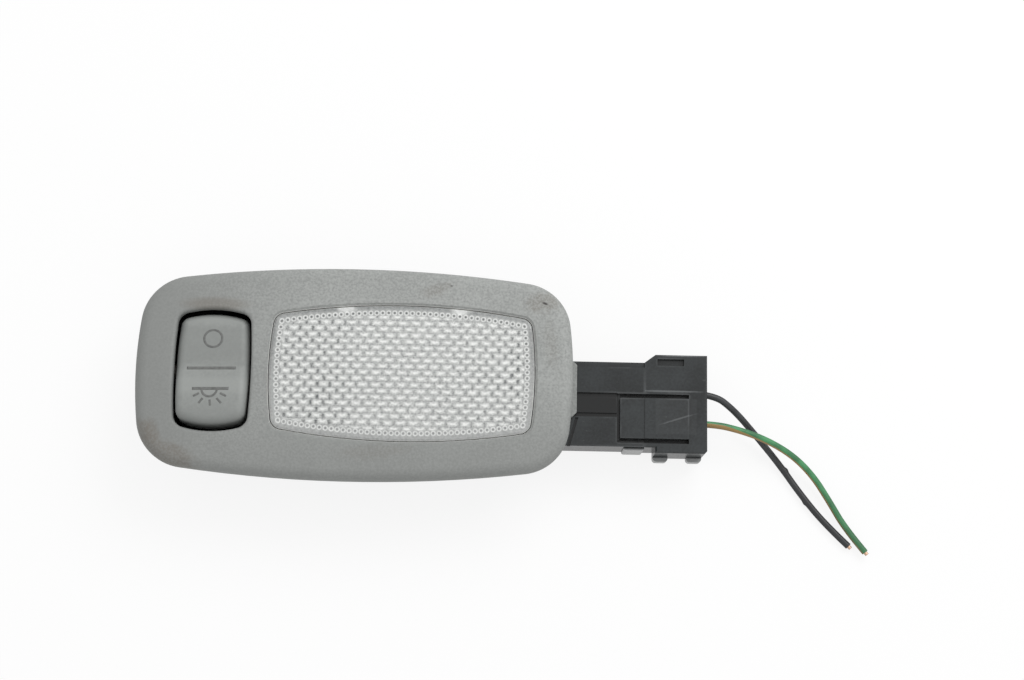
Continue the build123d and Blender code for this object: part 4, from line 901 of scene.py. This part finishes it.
class LIGHT_OT_lens(bpy.types.Operator):
    """Finishes the lens: milky plastic with the glints of its brick-laid cells and of the beads round them"""

    bl_idname = "light.lens"
    bl_label = "Lens"

    def cells(self, finish, x, y):
        """Light on the cells, whose rows shift by half a cell.

        Each has a soft pillow of light with a bent glint on it, dark ticks at its ends and dark seams to the
        next rows; p runs from its middle to its ends and q from its south seam to its north one.
        """
        stray = finish.noise(0.0011) - 0.5
        sparkle = finish.noise(0.0005, detail=3.0, roughness=0.8) - 0.5
        high = y / CELL_WIDTH + 0.5 + stray * STRAY_ACROSS
        row = high.floor()
        q = (high - row) * 2.0 - 1.0
        wide = x / CELL_LENGTH + (row * 0.5 + 0.5).fraction() + stray * STRAY_ALONG
        p = abs(wide.fraction() * 2.0 - 1.0)
        glint = p.fade(*GLINT_ALONG) * abs(q + GLINT_DROP - p * GLINT_BEND).fade(*GLINT_ACROSS)
        pillow = p.fade(*PILLOW_ALONG) * abs(q).fade(*PILLOW_ACROSS)
        tick = p.rise(*TICK_ALONG) * abs(q + TICK_DROP).fade(*TICK_ACROSS)
        seam = abs(q).rise(*SEAM_ACROSS) * p.fade(*SEAM_ALONG, 0.3, 1.0)
        contrast = finish.noise(0.011, detail=2.0).fade(*NOISE_SPAN, 0.6, 1.15)
        toward_ends = abs(x - CALM_X).fade(*CALM_REACH, 0.35, 1.3)
        dark = tick * TICK_GAIN * contrast * toward_ends + seam * SEAM_GAIN * contrast
        return CELL_TONE + pillow * PILLOW_GAIN + glint * GLINT_GAIN - dark + sparkle * SPARKLE_GAIN

    def beads(self, finish, y, sides, nearest, edge):
        """Light on the border: a bright ring and a dark hollow for each bead, shade and a bright rim at the edge."""
        rings = hollows = None
        for depth, place in sides:
            step = ((place / BEAD_PITCH).fraction() - 0.5) * BEAD_PITCH
            level = depth - (BEAD_INSET + LENS_CLEARANCE)
            apart = (step * step + level * level) ** 0.5
            own = (depth - nearest).fade(*BEAD_OWN_SIDE)
            ring = abs(apart - BEAD_RING_R).fade(*BEAD_RING) * own
            hollow = apart.fade(*BEAD_HOLLOW) * own
            rings = ring if rings is None else rings.upper(ring)
            hollows = hollow if hollows is None else hollows.upper(hollow)
        border = BORDER_TONE + rings * RING_GAIN - hollows * y.fade(*HOLLOW_SPAN, *HOLLOW_GAINS)
        border = border + (finish.noise(0.0006, detail=3.0, roughness=0.7) - 0.5) * BORDER_GRAIN
        border = border - edge.fade(*SHADE_DEPTH) * y.fade(*SHADE_SPAN, *SHADE_GAINS)
        return border + edge.fade(*RIM_DEPTH) * RIM_GAIN

    def execute(self, context):
        tones = context.scene.light_metals
        finish = Finish("lens_milky", IOR=1.49, Transmission_Weight=0.18)
        x, y = lens_place(finish)
        sides = outline_sides(x, y)
        nearest = nearest_side(sides)
        edge = opening_depth(x, y, nearest)
        field = self.cells(finish, x, y)
        border = self.beads(finish, y, sides, nearest, edge)
        tone = border + (field - border) * edge.rise(*FIELD_EDGE)
        for way in (-0.5, 0.5):
            tab = ((LENS_X + way * TAB_SPREAD) * MM, TAB_Y, TAB_Z)
            tone = tone + finish.spot(tab, TAB_REACH, (1.1, 0.55, 1.0), 0.0, 0.3, 0.001) * TAB_GAIN
        finish.feed("Base Color", tone.blend(rgba(tones.lens_dim), rgba(tones.lens)))
        finish.feed("Roughness", 0.16 + finish.noise(0.004, detail=4.0) * 0.1)
        finish.bump(tone, strength=0.12, distance=0.00005)
        finish.dress("lens")
        return {"FINISHED"}


class LIGHT_OT_inside(bpy.types.Operator):
    """Finishes the reflector, the bulb and the metal inside"""

    bl_idname = "light.inside"
    bl_label = "Inside"

    def metal(self, name, base, rough):
        """Drawn or stamped metal: fine streaks in tone and roughness."""
        finish = Finish(name, Metallic=1.0)
        streak = finish.noise(0.0012, detail=3.0, roughness=0.6, squash=(0.3, 1.0, 1.0))
        finish.feed("Base Color", streak.mottle(base, high=0.85, low=1.1))
        finish.feed("Roughness", (rough - 0.06) + streak * 0.12)
        finish.bump(streak, strength=0.1, distance=0.00002)
        return finish

    def glass(self, name, tint, index, rough):
        """Clear glass, with faint haze in its tint and roughness."""
        finish = Finish(name, Transmission_Weight=1.0, IOR=index)
        haze = finish.noise(0.004, detail=4.0)
        finish.feed("Base Color", haze.mottle(tint, high=0.985, low=1.0))
        finish.feed("Roughness", rough + haze.rise(0.45, 0.8, 0.02))
        finish.bump(haze, strength=0.02, distance=0.00002)
        return finish

    def white(self, name, base):
        """White plastic, faintly clouded."""
        finish = Finish(name)
        cloud = finish.noise(0.01)
        finish.feed("Base Color", cloud.mottle(base, high=0.96, low=1.0))
        finish.feed("Roughness", 0.26 + cloud * 0.1)
        finish.bump(cloud, strength=0.05, distance=0.00003)
        return finish

    def execute(self, context):
        metals = context.scene.light_metals
        self.glass("bulb_clear", metals.glass, 1.47, 0.01).dress("bulb_glass")
        self.metal("strip_brass", metals.brass, 0.34).dress(
            "supply_busbar",
            "switch_busbar",
            "ground_busbar",
            "contact_blade",
            "supply_terminal",
            "ground_terminal",
        )
        self.metal("spring_steel", metals.steel, 0.32).dress(
            "switch_spring", "mounting_spring", "bulb_filament", "contact_rivet"
        )
        self.metal("cap_metal", metals.cap, 0.26).dress("bulb_cap_left", "bulb_cap_right")
        white = context.scene.light_plastics.reflector
        self.white("reflector_plastic", white).dress("reflector", "switch_plunger")
        return {"FINISHED"}


class LIGHT_OT_stage(bpy.types.Operator):
    """Sets the camera, the pale floor and the soft light"""

    bl_idname = "light.stage"
    bl_label = "Stage"

    def camera(self, scene, focal):
        """Camera at the place and turn that the outlines gave."""
        data = bpy.data.cameras.new("photo_camera")
        data.sensor_fit = "HORIZONTAL"
        data.sensor_width = SENSOR_WIDTH
        data.lens = focal
        data.clip_start = 0.01
        camera = bpy.data.objects.new("photo_camera", data)
        scene.collection.objects.link(camera)
        camera.matrix_world = Matrix(CAMERA_POSE)
        scene.camera = camera

    def floor(self, scene, tone, blaze):
        """Level square floor: nearly white to the camera, with the object's shadow, and pale in reflections."""
        steps = np.linspace(-FLOOR_REACH, FLOOR_REACH, FLOOR_POINTS)
        x, y = np.meshgrid(steps, steps, indexing="ij")
        vertices = np.stack([x.ravel(), y.ravel(), np.full(x.size, FLOOR_LEVEL)], axis=-1)
        mesh = bpy.data.meshes.new("floor")
        mesh.from_pydata(vertices.tolist(), [], grid_faces(FLOOR_POINTS, FLOOR_POINTS)[:, ::-1].tolist())
        floor = bpy.data.objects.new("floor", mesh)
        scene.collection.objects.link(floor)
        finish = Finish("floor_white", Base_Color=rgba(tone), Roughness=0.9)
        make = finish.signal.node
        rays = make("ShaderNodeLightPath")
        seen = rays.output("Is Camera Ray") * FLOOR_WHITE
        mirrored = rays.output("Is Glossy Ray").upper(rays.output("Is Transmission Ray"))
        plain = Signal(finish.tree, finish.shader.outputs[0])
        glow = make("ShaderNodeEmission", None, {"Color": WHITE, "Strength": 1.0})
        pale = make("ShaderNodeEmission", None, {"Color": WHITE, "Strength": blaze})
        direct = make("ShaderNodeMixShader", None, {0: seen, 1: plain, 2: glow})
        mixed = make("ShaderNodeMixShader", None, {0: mirrored, 1: direct, 2: pale})
        finish.tree.links.new(mixed.socket, finish.output.inputs[0])
        mesh.materials.append(finish.material)

    def surroundings(self, scene, strength):
        """Even light from all round, plain white to the camera and in reflections."""
        world = bpy.data.worlds.new("studio")
        scene.world = world
        world.use_nodes = True
        tree = world.node_tree
        tree.nodes.clear()
        make = Signal(tree).node
        rays = make("ShaderNodeLightPath")
        seen = rays.output("Is Camera Ray").upper(rays.output("Is Glossy Ray"))
        seen = seen.upper(rays.output("Is Transmission Ray"))
        even = make("ShaderNodeBackground", None, {"Color": WHITE, "Strength": strength})
        white = make("ShaderNodeBackground", None, {"Color": WHITE, "Strength": 1.0})
        mixed = make("ShaderNodeMixShader", None, {0: seen, 1: even, 2: white})
        output = tree.nodes.new("ShaderNodeOutputWorld")
        tree.links.new(mixed.socket, output.inputs[0])

    def key(self, scene, power):
        """Large soft lamp to the north-east, pointed at the object."""
        lamp = bpy.data.lights.new("key", "AREA")
        lamp.shape = "RECTANGLE"
        lamp.size, lamp.size_y = KEY_SIZE
        lamp.energy = power
        key = bpy.data.objects.new("key", lamp)
        scene.collection.objects.link(key)
        back = np.array(KEY_PLACE) - np.array(KEY_AIM)
        back /= np.linalg.norm(back)
        right = np.cross((0.0, 0.0, 1.0), back)
        right /= np.linalg.norm(right)
        turn = np.stack([right, np.cross(back, right), back], axis=-1)
        rows = [[*axes, place] for axes, place in zip(turn, KEY_PLACE)]
        key.matrix_world = Matrix(rows + [[0.0, 0.0, 0.0, 1.0]])

    def execute(self, context):
        scene = context.scene
        settings = scene.light_stage
        scene.view_settings.view_transform = "Standard"
        self.camera(scene, settings.focal)
        self.floor(scene, settings.floor, settings.blaze)
        self.surroundings(scene, settings.sky)
        self.key(scene, settings.key)
        return {"FINISHED"}


class LIGHT_PT_panel(bpy.types.Panel):
    """Sizes, colours and steps of the interior light"""

    bl_idname = "LIGHT_PT_panel"
    bl_label = "Interior light"
    bl_space_type = "VIEW_3D"
    bl_region_type = "UI"
    bl_category = "Light"

    def draw(self, context):
        for name, label, group in GROUPS:
            box = self.layout.box()
            box.label(text=label)
            settings = getattr(context.scene, name)
            for key in group.__annotations__:
                box.prop(settings, key)
        for step in STEPS:
            self.layout.operator(step.bl_idname)


GROUPS = (
    ("light_plastics", "Plastics", LightPlastics),
    ("light_metals", "Metals and clear pieces", LightMetals),
    ("light_wires", "Wires", LightWires),
    ("light_signs", "Switch signs", LightSigns),
    ("light_stage", "Stage", LightStage),
)
STEPS = (
    LIGHT_OT_stage,
    LIGHT_OT_wires,
    LIGHT_OT_signs,
    LIGHT_OT_bezel,
    LIGHT_OT_connector,
    LIGHT_OT_lens,
    LIGHT_OT_inside,
)


def register():
    """Registers the settings, the steps and the panel."""
    for name, _, group in GROUPS:
        bpy.utils.register_class(group)
        setattr(bpy.types.Scene, name, PointerProperty(type=group))
    for step in STEPS:
        bpy.utils.register_class(step)
    bpy.utils.register_class(LIGHT_PT_panel)


def unregister():
    """Removes what register added."""
    bpy.utils.unregister_class(LIGHT_PT_panel)
    for step in reversed(STEPS):
        bpy.utils.unregister_class(step)
    for name, _, group in reversed(GROUPS):
        delattr(bpy.types.Scene, name)
        bpy.utils.unregister_class(group)


def main():
    """Runs every step in order."""
    register()
    bpy.ops.light.stage()
    bpy.ops.light.wires()
    bpy.ops.light.signs()
    bpy.ops.light.bezel()
    bpy.ops.light.connector()
    bpy.ops.light.lens()
    bpy.ops.light.inside()


if __name__ == "__main__":
    main()
